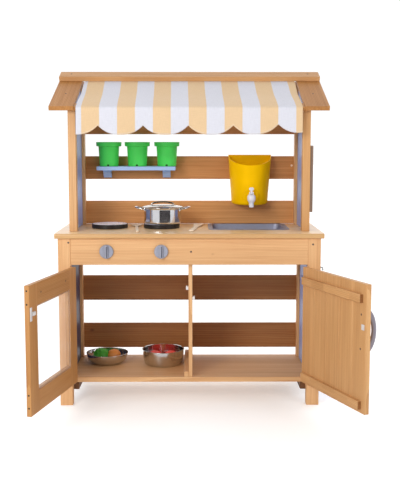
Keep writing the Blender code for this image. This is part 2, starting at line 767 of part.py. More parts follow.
def make_doors():
    """Both leaves are drawn shut under an empty on their hinge line, which is turned to stand open."""
    hinge_line = (-HINGE_AXIS_X, -HINGE_AXIS_FORWARD, 0)
    left_door = empty("left_door", hinge_line, (0, 0, -LEFT_DOOR_OPEN), kitchen)
    hinge_line = (HINGE_AXIS_X, -HINGE_AXIS_FORWARD, 0)
    right_door = empty("right_door", hinge_line, (0, 0, RIGHT_DOOR_OPEN), kitchen)
    front = HINGE_AXIS_FORWARD
    back = front + LEAF_THICKNESS
    low = (LEAF_EDGE, front, LEAF_BOTTOM)
    high = (LEAF_EDGE + LEAF_WIDTH, back, LEAF_TOP)
    frame = board("left_door_frame", low, high, PALE_WOOD, left_door)
    window_low = Vector((low[0] + STILE_WIDTH, front - PANE_LAP, LEAF_BOTTOM + RAIL_WIDTH))
    window_high = Vector((high[0] - STILE_WIDTH, back + PANE_LAP, LEAF_TOP - RAIL_WIDTH))
    cut_box("left_door_window", window_low, window_high, frame, left_door)
    rebate = Vector((PANE_LAP, 0, PANE_LAP))
    pane_front = back - PANE_THICKNESS - 2 * CLEARANCE
    rebate_low = window_low - rebate
    rebate_low.y = pane_front
    cut_box("left_door_rebate", rebate_low, window_high + rebate, frame, left_door)
    fit = Vector((CLEARANCE, 0, CLEARANCE))
    pane_low = window_low - rebate + fit
    pane_high = window_high + rebate - fit
    pane_low.y = pane_front + CLEARANCE
    pane_high.y = pane_low.y + PANE_THICKNESS
    board("left_door_pane", pane_low, pane_high, CLEAR, left_door, chamfer=0.0004)
    make_right_leaf(right_door, front, back)
    levels = (("upper", LEAF_TOP - HINGE_END_DISTANCE), ("lower", LEAF_BOTTOM + HINGE_END_DISTANCE))
    for level_name, height in levels:
        make_hinge("left", -1, level_name, height, left_door)
        make_hinge("right", 1, level_name, height, right_door)


def cut_box(name, low, high, target, parent):
    bm, middle = box_mesh(low, high)
    combine(target, solid(name, bm, PALE_WOOD, parent, middle), "DIFFERENCE")


def make_right_leaf(door, front, back):
    """Upright planks with a groove at each joint, two battens inside and a bow handle outside."""
    left = -(LEAF_EDGE + LEAF_WIDTH)
    right = -LEAF_EDGE
    plank = LEAF_WIDTH / PLANK_COUNT
    joints = [left + plank * number for number in range(1, PLANK_COUNT)]
    outline = [(left, front)]
    for x in joints:
        outline += [(x - GROOVE_WIDTH / 2, front), (x, front + GROOVE_DEPTH), (x + GROOVE_WIDTH / 2, front)]
    outline += [(right, front), (right, back)]
    for x in reversed(joints):
        outline += [(x + GROOVE_WIDTH / 2, back), (x, back - GROOVE_DEPTH), (x - GROOVE_WIDTH / 2, back)]
    outline.append((left, back))
    panel = prism("right_door_panel", outline, "Z", LEAF_BOTTOM, LEAF_TOP, PALE_WOOD, door, chamfer=0.0)
    heights = (LEAF_BOTTOM + LOWER_BATTEN_RISE, LEAF_TOP - UPPER_BATTEN_DROP - BATTEN_HEIGHT)
    for number, height in enumerate(heights):
        bm, middle = box_mesh(
            (left + BATTEN_FREE_INSET, back - GROOVE_DEPTH * 2, height),
            (right - BATTEN_HINGE_INSET, back + BATTEN_THICKNESS, height + BATTEN_HEIGHT),
            CHAMFER,
        )
        combine(panel, solid(f"right_door_batten_{number}", bm, PALE_WOOD, door, middle), "UNION")
    outer = arc_points(HANDLE_LENGTH, HANDLE_REACH, 14)
    inner = arc_points(HANDLE_GAP_LENGTH, HANDLE_REACH - HANDLE_GRIP, 12)
    outline = [(z, -y) for z, y in outer + list(reversed(inner))]
    bm = prism_mesh(outline, "X", -HANDLE_WIDTH / 2, HANDLE_WIDTH / 2)
    turn = Matrix.Rotation(math.pi, 4, "Z") @ Matrix.Rotation(math.pi / 2, 4, "X")
    bmesh.ops.transform(bm, matrix=turn, verts=bm.verts)
    rim = [edge for edge in bm.edges if edge.calc_face_angle(0.0) > math.radians(50)]
    rim = [edge for edge in rim if any(vert.co.y < -MERGE for vert in edge.verts)]
    bmesh.ops.bevel(
        bm, geom=rim, offset=HANDLE_WIDTH / 5, segments=2, profile=0.5, affect="EDGES", material=-1
    )
    place = (left + HANDLE_EDGE_DISTANCE, front - CLEARANCE, HANDLE_HEIGHT)
    solid("right_door_handle", bm, HANDLE_GREY, door, place, smooth=True)


def arc_points(chord, rise, steps):
    """Points of a circle's arc over a chord, as (along, up), from one end to the other."""
    radius = (chord**2 / 4 + rise**2) / (2 * rise)
    half_angle = math.asin(chord / 2 / radius)
    if rise > radius:
        half_angle = math.pi - half_angle
    points = []
    for step in range(steps + 1):
        angle = half_angle * (2 * step / steps - 1)
        points.append((radius * math.sin(angle), rise - radius * (1 - math.cos(angle))))
    return points


def make_knobs():
    for (side_name, _), x in zip(SIDES, KNOB_X):
        profile = [
            (0, 0),
            (KNOB_RADIUS - 0.001, 0),
            (KNOB_RADIUS, 0.001),
            (KNOB_RADIUS, KNOB_THICKNESS - 0.003),
            (KNOB_RADIUS - 0.003, KNOB_THICKNESS),
            (0, KNOB_THICKNESS),
        ]
        place = (x, -CLEARANCE, KNOB_Z)
        quarter = (math.pi / 2, 0, 0)
        knob = solid(f"knob_{side_name}", turned_mesh(profile, TURN_STEPS), KNOB_GREY, kitchen, place, quarter, True)
        reach = KNOB_RADIUS - 0.002
        bm, middle = box_mesh(
            (-KNOB_GRIP_WIDTH / 2, -reach, KNOB_THICKNESS / 2),
            (KNOB_GRIP_WIDTH / 2, reach, KNOB_THICKNESS + KNOB_GRIP_HEIGHT),
            0.002,
        )
        bmesh.ops.translate(bm, vec=middle, verts=bm.verts)
        combine(knob, solid(f"knob_{side_name}_grip", bm, KNOB_GREY, kitchen, place, quarter), "UNION")


def make_hobs():
    for (side_name, _), x in zip(SIDES, HOB_X):
        edge = 0.002
        groove = 0.0012
        profile = [(0, 0), (HOB_RADIUS - edge, 0), (HOB_RADIUS, edge), (HOB_RADIUS, HOB_THICKNESS - edge)]
        profile.append((HOB_RADIUS - edge, HOB_THICKNESS))
        for share in (0.78, 0.46):
            middle = HOB_RADIUS * share
            profile += [
                (middle + groove, HOB_THICKNESS),
                (middle, HOB_THICKNESS - groove),
                (middle - groove, HOB_THICKNESS),
            ]
        profile.append((0, HOB_THICKNESS))
        bm = turned_mesh(profile, LARGE_TURN_STEPS)
        solid(f"hob_{side_name}", bm, HOB_BLACK, kitchen, (x, HOB_Y, STANDS), smooth=True)


def make_sink():
    inner_width = SINK_WIDTH - 2 * SINK_FLANGE
    inner_depth = SINK_DEPTH - 2 * SINK_FLANGE
    wall = 2 * SINK_WALL
    floor = SINK_FLANGE_THICKNESS - SINK_BOWL_DEPTH
    taper = 2 * SINK_TAPER
    foot = SINK_FOOT_ROUND
    levels = [
        (inner_width - taper - 2 * foot, inner_depth - taper - 2 * foot, SINK_CORNER - foot, floor),
        (inner_width - taper, inner_depth - taper, SINK_CORNER, floor + foot),
        (inner_width, inner_depth, SINK_CORNER, 0.0),
        (SINK_WIDTH, SINK_DEPTH, SINK_CORNER + SINK_FLANGE / 2, 0.0),
        (SINK_WIDTH, SINK_DEPTH, SINK_CORNER + SINK_FLANGE / 2, SINK_FLANGE_THICKNESS),
        (inner_width - wall, inner_depth - wall, SINK_CORNER - SINK_WALL, SINK_FLANGE_THICKNESS),
        (
            inner_width - taper - wall,
            inner_depth - taper - wall,
            SINK_CORNER - SINK_WALL,
            floor + foot + SINK_WALL,
        ),
        (
            inner_width - taper - 2 * foot,
            inner_depth - taper - 2 * foot,
            SINK_CORNER - foot,
            floor + SINK_WALL,
        ),
    ]
    rings = [rounded_rectangle(*level) for level in levels]
    solid("sink_basin", loft_mesh(rings), STEEL, kitchen, (SINK_X, SINK_Y, STANDS), smooth=True)


def vessel_profile(rim, foot, height, wall, lip):
    """A round bowl's outer and inner curve, from the axis below to the axis above."""
    outer, inner = [], []
    for step in range(BOWL_CURVE_STEPS + 1):
        angle = math.pi / 2 * step / BOWL_CURVE_STEPS
        swell = foot + (rim - foot) * math.sin(angle)
        rise = height * (1 - math.cos(angle))
        outer.append((swell, rise))
        inner.append((swell - wall, wall + (height - wall) * (1 - math.cos(angle))))
    roll = [(rim + lip, height), (rim + lip, height + wall / 2), (rim - wall, height + wall / 2)]
    return [(0, 0)] + outer + roll + list(reversed(inner[:-1])) + [(0, wall)]


def make_cooking_pot():
    base = STANDS + HOB_THICKNESS + CLEARANCE
    place = (PAN_X, HOB_Y, base)
    inner = PAN_RADIUS - PAN_WALL
    foot = PAN_FOOT_ROUND
    profile = [
        (0, 0),
        (PAN_RADIUS - foot, 0),
        (PAN_RADIUS - 0.001, foot / 2),
        (PAN_RADIUS, foot),
        (PAN_RADIUS, PAN_HEIGHT - 0.004),
        (PAN_RADIUS + PAN_LIP, PAN_HEIGHT - 0.001),
        (PAN_RADIUS + PAN_LIP, PAN_HEIGHT),
        (inner, PAN_HEIGHT - 0.001),
        (inner, foot + PAN_WALL),
        (inner - foot, PAN_WALL),
        (0, PAN_WALL),
    ]
    pan = solid("cooking_pot", turned_mesh(profile, LARGE_TURN_STEPS), STEEL, kitchen, place, smooth=True)
    height = PAN_HEIGHT - PAN_HANDLE_DROP
    root = math.sqrt((PAN_RADIUS - PAN_WALL * 0.4) ** 2 - (PAN_HANDLE_WIDTH / 2) ** 2)
    reach = PAN_RADIUS + PAN_HANDLE_REACH - root
    for side_name, side in SIDES:
        path = []
        for step in range(ARCH_STEPS + 1):
            angle = math.pi * step / ARCH_STEPS
            share = math.sin(angle) ** ARCH_SQUARENESS
            out = side * (root + reach * share)
            path.append((out, -PAN_HANDLE_WIDTH / 2 * math.cos(angle), height + PAN_HANDLE_FLARE * share))
        bm = rod_mesh(path, (-side * PAN_HANDLE_FLARE, 0, reach), PAN_HANDLE_ROD, ROD_SIDES)
        combine(pan, solid(f"cooking_pot_handle_{side_name}", bm, STEEL, kitchen, place), "UNION")
    rim = PAN_RADIUS + PAN_LIP
    wall = PAN_WALL
    profile = [
        (0, LID_RISE - wall),
        (rim * 0.55, LID_RISE * 0.78 - wall),
        (rim * 0.88, 0.0012),
        (rim - wall, 0),
        (rim + 0.001, 0),
        (rim + 0.001, 0.0012),
        (rim * 0.90, wall + 0.0014),
        (rim * 0.55, LID_RISE * 0.78),
        (rim * 0.25, LID_RISE * 0.96),
        (0, LID_RISE),
    ]
    place = (PAN_X, HOB_Y, base + PAN_HEIGHT + CLEARANCE)
    lid = solid("pot_lid", turned_mesh(profile, LARGE_TURN_STEPS), STEEL, kitchen, place, smooth=True)
    path = []
    for step in range(ARCH_STEPS + 1):
        angle = math.pi * step / ARCH_STEPS
        rise = LID_RISE * 0.78 - wall / 2 + LID_HANDLE_RISE * math.sin(angle) ** ARCH_SQUARENESS
        path.append((-LID_HANDLE_WIDTH / 2 * math.cos(angle), 0, rise))
    bm = rod_mesh(path, (0, 1, 0), PAN_HANDLE_ROD, ROD_SIDES)
    combine(lid, solid("pot_lid_handle", bm, STEEL, kitchen, place), "UNION")


def make_bowls():
    for name, size in (("bowl_left", LEFT_BOWL), ("bowl_right", RIGHT_BOWL)):
        profile = vessel_profile(size["rim"], size["foot"], size["height"], BOWL_WALL, BOWL_LIP)
        place = (size["x"], size["y"], SHELF_TOP + CLEARANCE)
        solid(name, turned_mesh(profile, TURN_STEPS), STEEL, kitchen, place, smooth=True)


def make_utensils():
    """Flat wooden pieces that lie on the worktop, each with its handle's end towards the front."""
    head_length = SPOON_HEAD * 0.7
    right_half = [(0.35, 0.0), (0.5, 0.004), (0.5, SPOON_LENGTH - 2.2 * head_length)]
    right_half = [(share * SPOON_HANDLE, y) for share, y in right_half]
    for step in range(1, 9):
        angle = math.pi * (step / 8 - 0.5) * 0.98
        right_half.append((SPOON_HEAD / 2 * math.cos(angle), SPOON_LENGTH - head_length * (1 - math.sin(angle))))
    flat_piece("spoon", right_half, SPOON_PLACE)
    blade_start = SPATULA_LENGTH * 0.62
    right_half = [
        (0.35 * SPATULA_HANDLE, 0.0),
        (0.5 * SPATULA_HANDLE, 0.004),
        (0.45 * SPATULA_HANDLE, blade_start),
        (0.40 * SPATULA_HEAD, blade_start + 0.030),
        (0.50 * SPATULA_HEAD, SPATULA_LENGTH - 0.008),
        (0.42 * SPATULA_HEAD, SPATULA_LENGTH),
    ]
    flat_piece("spatula", right_half, SPATULA_PLACE)


def flat_piece(name, right_half, place):
    outline = right_half + [(-x, y) for x, y in reversed(right_half)]
    bm = prism_mesh(outline, "Z", 0, UTENSIL_THICKNESS)
    rim = [edge for edge in bm.edges if edge.calc_face_angle(0.0) > math.radians(60)]
    rim = [edge for edge in rim if abs(edge.verts[0].co.z - edge.verts[1].co.z) < MERGE]
    bmesh.ops.bevel(bm, geom=rim, offset=0.0012, segments=1, profile=0.5, affect="EDGES", material=-1)
    x, y, turn = place
    solid(name, bm, BEECH, kitchen, (x, y, STANDS), (0, 0, turn))


def make_pot_shelf():
    back = SLAT_FRONT - CLEARANCE
    low = POT_SHELF_TOP - POT_SHELF_THICKNESS
    left, right = POT_SHELF_X - POT_SHELF_WIDTH / 2, POT_SHELF_X + POT_SHELF_WIDTH / 2
    shelf = board("pot_shelf", (left, back - POT_SHELF_DEPTH, low), (right, back, POT_SHELF_TOP), BLUE_PAINT, kitchen)
    for side_name, side in SIDES:
        middle = POT_SHELF_X + side * BRACKET_SPREAD / 2
        under = low + POT_SHELF_THICKNESS / 2
        outline = [
            (back, under),
            (back, low - BRACKET_HEIGHT),
            (back - BRACKET_DEPTH * 0.35, low - BRACKET_HEIGHT),
            (back - BRACKET_DEPTH, low - BRACKET_HEIGHT * 0.25),
            (back - BRACKET_DEPTH, under),
        ]
        bracket = prism(
            f"pot_shelf_bracket_{side_name}",
            outline,
            "X",
            middle - BRACKET_WIDTH / 2,
            middle + BRACKET_WIDTH / 2,
            BLUE_PAINT,
            kitchen,
            chamfer=0.0,
        )
        combine(shelf, bracket, "UNION")


def make_herb_pots():
    """Tapered pots, each with a wider upright band at its rim."""
    band = HERB_POT_HEIGHT - HERB_POT_BAND
    band_foot = HERB_POT_RIM - HERB_POT_BAND_TAPER
    wall = HERB_POT_WALL
    profile = [
        (0, 0),
        (HERB_POT_BASE, 0),
        (HERB_POT_WAIST, band),
        (band_foot, band + HERB_POT_BAND_TAPER),
        (HERB_POT_RIM, HERB_POT_HEIGHT - wall / 2),
        (HERB_POT_RIM - wall / 2, HERB_POT_HEIGHT),
        (HERB_POT_RIM - wall, HERB_POT_HEIGHT - wall / 2),
        (band_foot - wall, band + HERB_POT_BAND_TAPER + wall),
        (HERB_POT_WAIST - wall, band + wall),
        (HERB_POT_BASE - wall, wall),
        (0, wall),
    ]
    for name, offset in zip(("left", "middle", "right"), HERB_POT_OFFSETS):
        place = (POT_SHELF_X + offset, HERB_POT_Y, POT_SHELF_TOP + CLEARANCE)
        solid(f"herb_pot_{name}", turned_mesh(profile, TURN_STEPS), GREEN, kitchen, place, smooth=True)


def tank_section(width, depth, height, tilt=0.0, steps=20):
    """A flat back and a round front, at one height, lower towards the front by the tilt."""
    points = []
    for step in range(steps + 1):
        angle = math.pi * step / steps
        out = math.sin(angle) ** 0.85
        points.append((width / 2 * math.cos(angle), -depth * out, height - tilt * out))
    return points


def tank_depth(height):
    return TANK_BASE_DEPTH + (TANK_TOP_DEPTH - TANK_BASE_DEPTH) * height / TANK_HEIGHT


def make_tank():
    """The tank's own frame: Y 0 on its flat back, Z 0 under its base."""
    tank_place = empty("tank", (TANK_X, SLAT_FRONT - CLEARANCE, TANK_BOTTOM), parent=kitchen)
    foot = TANK_FOOT_ROUND
    rings = [
        [(x, y - foot / 2, z) for x, y, z in tank_section(TANK_BASE_WIDTH - 2 * foot, TANK_BASE_DEPTH - foot, 0)],
        tank_section(TANK_BASE_WIDTH, TANK_BASE_DEPTH, foot),
        tank_section(TANK_TOP_WIDTH, TANK_TOP_DEPTH, TANK_HEIGHT, TANK_RIM_DROP),
    ]
    tank = solid("water_tank", loft_mesh(rings), YELLOW, tank_place, smooth=True)
    boss_middle = (0, 0, BOSS_HEIGHT)
    face = -(tank_depth(BOSS_HEIGHT) + BOSS_STAND)
    bm = cylinder_mesh(BOSS_RADIUS, face, -TANK_BASE_DEPTH / 2, "Y", TURN_STEPS, boss_middle)
    combine(tank, solid("tank_boss", bm, YELLOW, tank_place), "UNION")
    wall = TANK_WALL
    past_rim = 1.1
    wider = (TANK_TOP_WIDTH - TANK_BASE_WIDTH) * (past_rim - 1)
    cavity = [
        tank_section(TANK_BASE_WIDTH - 2 * wall, TANK_BASE_DEPTH - 2 * wall, wall),
        tank_section(
            TANK_TOP_WIDTH + wider - 2 * wall,
            tank_depth(TANK_HEIGHT * past_rim) - 2 * wall,
            TANK_HEIGHT * past_rim,
        ),
    ]
    cavity = [[(x, y - wall, z) for x, y, z in ring] for ring in cavity]
    combine(tank, solid("tank_cavity", loft_mesh(cavity), YELLOW, tank_place), "DIFFERENCE")
    bore = SHANK_RADIUS + CLEARANCE
    bm = cylinder_mesh(bore, face - 0.01, -TANK_BASE_DEPTH / 2, "Y", BORE_SIDES, boss_middle)
    combine(tank, solid("tank_bore", bm, YELLOW, tank_place), "DIFFERENCE")
    reach = SLAT_THICKNESS + 2 * CLEARANCE
    low = MIDDLE_SLAT_TOP - TANK_BOTTOM + CLEARANCE
    outline = [
        (-wall / 2, low - 0.004),
        (-wall / 2, low + HOOK_THICKNESS),
        (reach + HOOK_THICKNESS, low + HOOK_THICKNESS),
        (reach + HOOK_THICKNESS, low - HOOK_DROP),
        (reach, low - HOOK_DROP),
        (reach, low),
        (0.0, low),
        (0.0, low - 0.004),
    ]
    bm = prism_mesh(outline, "X", -HOOK_WIDTH / 2, HOOK_WIDTH / 2)
    combine(tank, solid("tank_hook", bm, YELLOW, tank_place), "UNION")
    make_tap(tank_place, face)


def make_tap(tank_place, face):
    """A barrel with a spout, a shank through the tank's wall, and two ears with the lever's pin."""
    front = face - TAP_REACH
    bulge = TAP_RADIUS
    profile = [
        (0, SPOUT_BOTTOM + SPOUT_DEPTH),
        (SPOUT_BORE, SPOUT_BOTTOM + SPOUT_DEPTH),
        (SPOUT_BORE, SPOUT_BOTTOM),
        (SPOUT_RADIUS, SPOUT_BOTTOM),
        (SPOUT_RADIUS + 0.0005, SPOUT_BOTTOM + 0.018),
        (bulge * 0.9, SPOUT_BOTTOM + 0.026),
        (bulge, SPOUT_BOTTOM + 0.034),
        (bulge * 0.9, TAP_TOP - 0.005),
        (bulge * 0.7, TAP_TOP),
        (0, TAP_TOP),
    ]
    body = solid("tap_body", turned_mesh(profile, TAP_STEPS), WHITE, tank_place, (0, front, 0), smooth=True)
    shank_end = TANK_WALL + BOSS_STAND + 0.012
    axis = (0, 0, BOSS_HEIGHT)
    bm = cylinder_mesh(SHANK_RADIUS, front, face + shank_end, "Y", BORE_SIDES, axis)
    combine(body, solid("tap_shank", bm, WHITE, tank_place), "UNION")
    bm = cylinder_mesh(FLANGE_RADIUS, face - CLEARANCE - FLANGE_THICKNESS, face - CLEARANCE, "Y", BORE_SIDES, axis)
    combine(body, solid("tap_flange", bm, WHITE, tank_place), "UNION")
    ear_inner = LEVER_FOOT_WIDTH / 2 + RUNNING_CLEARANCE
    ear_top = LEVER_AXIS_HEIGHT + 0.004
    for side_name, side in SIDES:
        left, right = spans(ear_inner, ear_inner + EAR_THICKNESS, side)
        bm, middle = box_mesh((left, front - EAR_DEPTH / 2, TAP_TOP - 0.004), (right, front + EAR_DEPTH / 2, ear_top))
        combine(body, solid(f"tap_ear_{side_name}", bm, WHITE, tank_place, middle), "UNION")
    reach = ear_inner + EAR_THICKNESS / 2
    lever_axis = (0, front, LEVER_AXIS_HEIGHT)
    bm = cylinder_mesh(LEVER_PIN_RADIUS, -reach, reach, "X", PIN_SIDES, lever_axis)
    combine(body, solid("tap_pin", bm, WHITE, tank_place), "UNION")
    foot, paddle = LEVER_FOOT_WIDTH / 2, LEVER_PADDLE_WIDTH / 2
    neck = 0.0085
    right_half = [
        (foot, -0.004),
        (foot, neck - 0.001),
        (paddle, neck + 0.003),
        (paddle, LEVER_HEIGHT - 0.004),
        (paddle - 0.004, LEVER_HEIGHT),
    ]
    outline = [(z, x) for x, z in right_half + [(-x, z) for x, z in reversed(right_half)]]
    bm = prism_mesh(outline, "Y", -LEVER_THICKNESS / 2, LEVER_THICKNESS / 2, 0.0006)
    lever = solid("tap_lever", bm, WHITE, tank_place, lever_axis)
    bore = cylinder_mesh(LEVER_PIN_RADIUS + RUNNING_CLEARANCE, -LEVER_FOOT_WIDTH, LEVER_FOOT_WIDTH, "X", PIN_SIDES)
    combine(lever, solid("tap_lever_bore", bore, WHITE, tank_place, lever_axis), "DIFFERENCE")


def move_over_origin():
    """Puts the middle of the whole kitchen's box, with its doors open, over the origin."""
    bpy.context.view_layer.update()
    shown = [obj for obj in scene.objects if obj.type == "MESH" and not obj.hide_render]
    corners = [obj.matrix_world @ Vector(corner) for obj in shown for corner in obj.bound_box]
    for axis in range(2):
        places = [corner[axis] for corner in corners]
        kitchen.location[axis] = -(min(places) + max(places)) / 2


clear_scene()
kitchen = empty("kitchen", (0, 0, 0))
make_legs_and_sides()
make_shelf_and_divider()
make_apron_and_slats()
make_worktop()
make_upper_frame()
make_roof()
make_canopy()
make_doors()
make_knobs()
make_hobs()
make_sink()
make_cooking_pot()
make_bowls()
make_utensils()
make_pot_shelf()
make_herb_pots()
make_tank()
move_over_origin()
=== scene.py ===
"""The play kitchen's looks round its CAD model: wood, paint, steel, plastics and a cloth canopy."""

import json
import math

import bmesh
import bpy
from mathutils import Matrix, Vector
from mathutils.bvhtree import BVHTree


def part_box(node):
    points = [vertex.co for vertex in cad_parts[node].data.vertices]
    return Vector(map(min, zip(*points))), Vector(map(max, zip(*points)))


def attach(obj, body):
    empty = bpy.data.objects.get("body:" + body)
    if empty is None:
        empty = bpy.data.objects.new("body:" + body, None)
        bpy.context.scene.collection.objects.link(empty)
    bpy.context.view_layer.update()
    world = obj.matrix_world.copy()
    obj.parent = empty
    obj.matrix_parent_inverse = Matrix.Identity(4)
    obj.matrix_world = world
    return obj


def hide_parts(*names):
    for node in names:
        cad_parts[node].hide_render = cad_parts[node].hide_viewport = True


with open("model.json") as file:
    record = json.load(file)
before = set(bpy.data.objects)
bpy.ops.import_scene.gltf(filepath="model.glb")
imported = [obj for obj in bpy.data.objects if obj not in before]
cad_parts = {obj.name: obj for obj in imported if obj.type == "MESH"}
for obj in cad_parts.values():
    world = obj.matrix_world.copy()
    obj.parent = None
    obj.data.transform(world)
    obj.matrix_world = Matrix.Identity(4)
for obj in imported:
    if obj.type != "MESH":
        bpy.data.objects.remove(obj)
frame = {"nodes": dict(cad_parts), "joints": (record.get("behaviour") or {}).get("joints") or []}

nodes = frame["nodes"]
joints = {joint["name"]: joint for joint in frame["joints"]}
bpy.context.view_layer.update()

MERGE = 0.00001
GAP = 0.0003
TURN_STEPS = 96
X, Y, Z = Vector((1, 0, 0)), Vector((0, 1, 0)), Vector((0, 0, 1))


# Camera, light and floor

CAMERA_PLACE = (-0.0282, -3.1496, 0.9681)
CAMERA_TURN = (math.radians(90 - 6.8), 0, math.radians(-0.4))
CAMERA_LENS = 80.5
SENSOR_WIDTH = 36
LIGHTS = [
    {"name": "key_light", "place": (-1.7, -3.0, 1.8), "target": (0, 0.1, 0.7), "size": 1.4, "watts": 54,
     "colour": (1, 0.985, 0.96)},
    {"name": "fill_light", "place": (2.6, -2.6, 1.7), "target": (0, 0.1, 0.8), "size": 1.2, "watts": 18,
     "colour": (1, 1, 1)},
]
FLOOR_SIZE = 60.0
FLOOR_COLOUR = (0.90, 0.90, 0.90)
FLOOR_GLOW = 0.30
WORLD_STRENGTH = 0.78
WORLD_SEEN = 1.05
OVERHEAD = (0.62, 0.62, 0.64)
LIGHT_BEHIND = 2.6
CARD_CENTRE = (-0.146, 0.227)
CARD_DISTANCE = 4.2
CARD_FOOT = 0.01
CARD_HEIGHT = 1.1
CARD_STEPS = 12
CARDS = [
    (-150, -105, (0.14, 0.05, 0.04)), (-105, -62, (0.32, 0.33, 0.38)), (-17, 50, (0.045, 0.04, 0.04)),
    (86, 112, (0.25, 0.21, 0.30)), (112, 150, (0.42, 0.27, 0.22)),
]
ROOM_SEEN_IN_STEEL = [
    (0.0, (1.6, 1.6, 1.6)), (0.2, (1.4, 1.38, 1.35)), (0.26, (0.42, 0.36, 0.30)),
    (0.325, (0.30, 0.22, 0.16)), (0.345, (1.1, 1.15, 1.2)), (0.445, (1.15, 1.18, 1.2)),
    (0.46, (0.10, 0.09, 0.08)), (0.53, (0.05, 0.045, 0.045)), (0.63, (0.08, 0.07, 0.09)),
    (0.65, (1.2, 1.15, 1.15)), (0.73, (1.1, 1.05, 1.0)), (0.75, (0.33, 0.29, 0.34)),
    (0.8, (1.4, 1.38, 1.35)), (1.0, (1.6, 1.6, 1.6)),
]


def make_object(name, bm):
    """Makes an object of the scene from a bmesh, and frees the bmesh."""
    mesh = bpy.data.meshes.new(name)
    bm.to_mesh(mesh)
    bm.free()
    made = bpy.data.objects.new(name, mesh)
    bpy.context.scene.collection.objects.link(made)
    return made


def add_camera():
    camera = bpy.data.objects.new("camera", bpy.data.cameras.new("camera"))
    camera.location = CAMERA_PLACE
    camera.rotation_euler = CAMERA_TURN
    camera.data.lens = CAMERA_LENS
    camera.data.sensor_width = SENSOR_WIDTH
    camera.data.sensor_fit = "HORIZONTAL"
    bpy.context.scene.collection.objects.link(camera)
    bpy.context.scene.camera = camera


def add_world():
    """Soft white light all round. Polished steel sees bright walls with dark stretches between them."""
    world = bpy.data.worlds.new("studio_world")
    world.use_nodes = True
    tree = world.node_tree
    axes = split(tree, add_node(tree, "ShaderNodeTexCoord").outputs["Generated"])
    turn = add_math(tree, "ARCTAN2", axes["X"], add_math(tree, "MULTIPLY", axes["Y"], -1.0))
    room = add_ramp(tree, add_range(tree, turn, -math.pi, math.pi, 0.0, 1.0), ROOM_SEEN_IN_STEEL)
    overhead = add_ramp(tree, axes["Z"], [(0.55, (1, 1, 1)), (0.95, OVERHEAD)])
    behind = add_range(tree, axes["Y"], 0.1, 0.6, 1.0, LIGHT_BEHIND)
    soft = add_vector(tree, "SCALE", overhead, scale=behind)
    path = add_node(tree, "ShaderNodeLightPath").outputs
    light = add_mix(tree, path["Is Camera Ray"], soft, (WORLD_SEEN / WORLD_STRENGTH,) * 3)
    colour = add_mix(tree, path["Is Glossy Ray"], light, room)
    set_inputs(tree, tree.nodes["Background"], {"Color": colour, "Strength": WORLD_STRENGTH})
    bpy.context.scene.world = world
    bpy.context.scene.view_settings.view_transform = "Standard"


def add_cards():
    """Curved cards round the kitchen. Only polished surfaces see them, as the dark bands of a studio."""
    for number, (start, end, colour) in enumerate(CARDS):
        name = f"card_{number + 1}"
        bm = bmesh.new()
        columns = []
        for step in range(CARD_STEPS + 1):
            angle = math.radians(start + (end - start) * step / CARD_STEPS)
            x, y = CARD_DISTANCE * math.sin(angle), -CARD_DISTANCE * math.cos(angle)
            place = (CARD_CENTRE[0] + x, CARD_CENTRE[1] + y)
            columns.append([bm.verts.new((*place, z)) for z in (CARD_FOOT, CARD_HEIGHT)])
        for (low, high), (next_low, next_high) in zip(columns, columns[1:]):
            bm.faces.new((low, next_low, next_high, high))
        card = make_object(name, bm)
        paper, tree, shader = start_material(f"card_paper_{number + 1}", colour, 1.0)
        set_inputs(tree, shader, {"Specular IOR Level": 0.0})
        card.data.materials.append(paper)
        card.visible_camera = card.visible_diffuse = False


def add_lights():
    for given in LIGHTS:
        light = bpy.data.lights.new(given["name"], "AREA")
        light.shape = "DISK"
        light.size = given["size"]
        light.energy = given["watts"]
        light.color = given["colour"]
        holder = bpy.data.objects.new(given["name"], light)
        holder.location = given["place"]
        aim = Vector(given["target"]) - Vector(given["place"])
        holder.rotation_euler = aim.to_track_quat("-Z", "Y").to_euler()
        bpy.context.scene.collection.objects.link(holder)


def add_floor():
    """A wide pale floor, which the camera sees as bright as the white room behind it."""
    bm = bmesh.new()
    bmesh.ops.create_grid(bm, x_segments=1, y_segments=1, size=FLOOR_SIZE / 2)
    floor = make_object("floor", bm)
    paper, tree, shader = start_material("pale_paper", FLOOR_COLOUR, 0.9)
    seen = add_node(tree, "ShaderNodeLightPath").outputs["Is Camera Ray"]
    set_inputs(tree, shader, {
        "Specular IOR Level": 0.2,
        "Emission Color": (1, 1, 1, 1),
        "Emission Strength": add_math(tree, "MULTIPLY", seen, FLOOR_GLOW),
    })
    floor.data.materials.append(paper)


# Shader helpers


def set_inputs(tree, node, values):
    """Links each value that is a socket to the node's input, and sets any other on it."""
    for name, value in values.items():
        if isinstance(value, bpy.types.NodeSocket):
            tree.links.new(value, node.inputs[name])
        else:
            node.inputs[name].default_value = value


def add_node(tree, kind, values=None, **settings):
    made = tree.nodes.new(kind)
    for name, setting in settings.items():
        setattr(made, name, setting)
    set_inputs(tree, made, values or {})
    return made


def add_math(tree, operation, first, second=0.5, third=None):
    values = {0: first, 1: second}
    if third is not None:
        values[2] = third
    return add_node(tree, "ShaderNodeMath", values, operation=operation).outputs[0]


def add_vector(tree, operation, first, second=None, scale=None):
    values = {0: first}
    if second is not None:
        values[1] = second
    if scale is not None:
        values["Scale"] = scale
    return add_node(tree, "ShaderNodeVectorMath", values, operation=operation).outputs[0]


def split(tree, vector):
    return add_node(tree, "ShaderNodeSeparateXYZ", {"Vector": vector}).outputs


def combine(tree, **parts):
    return add_node(tree, "ShaderNodeCombineXYZ", parts).outputs[0]


def add_mapping(tree, vector, scale, turn=(0, 0, 0)):
    values = {"Vector": vector, "Rotation": turn, "Scale": scale}
    return add_node(tree, "ShaderNodeMapping", values).outputs[0]


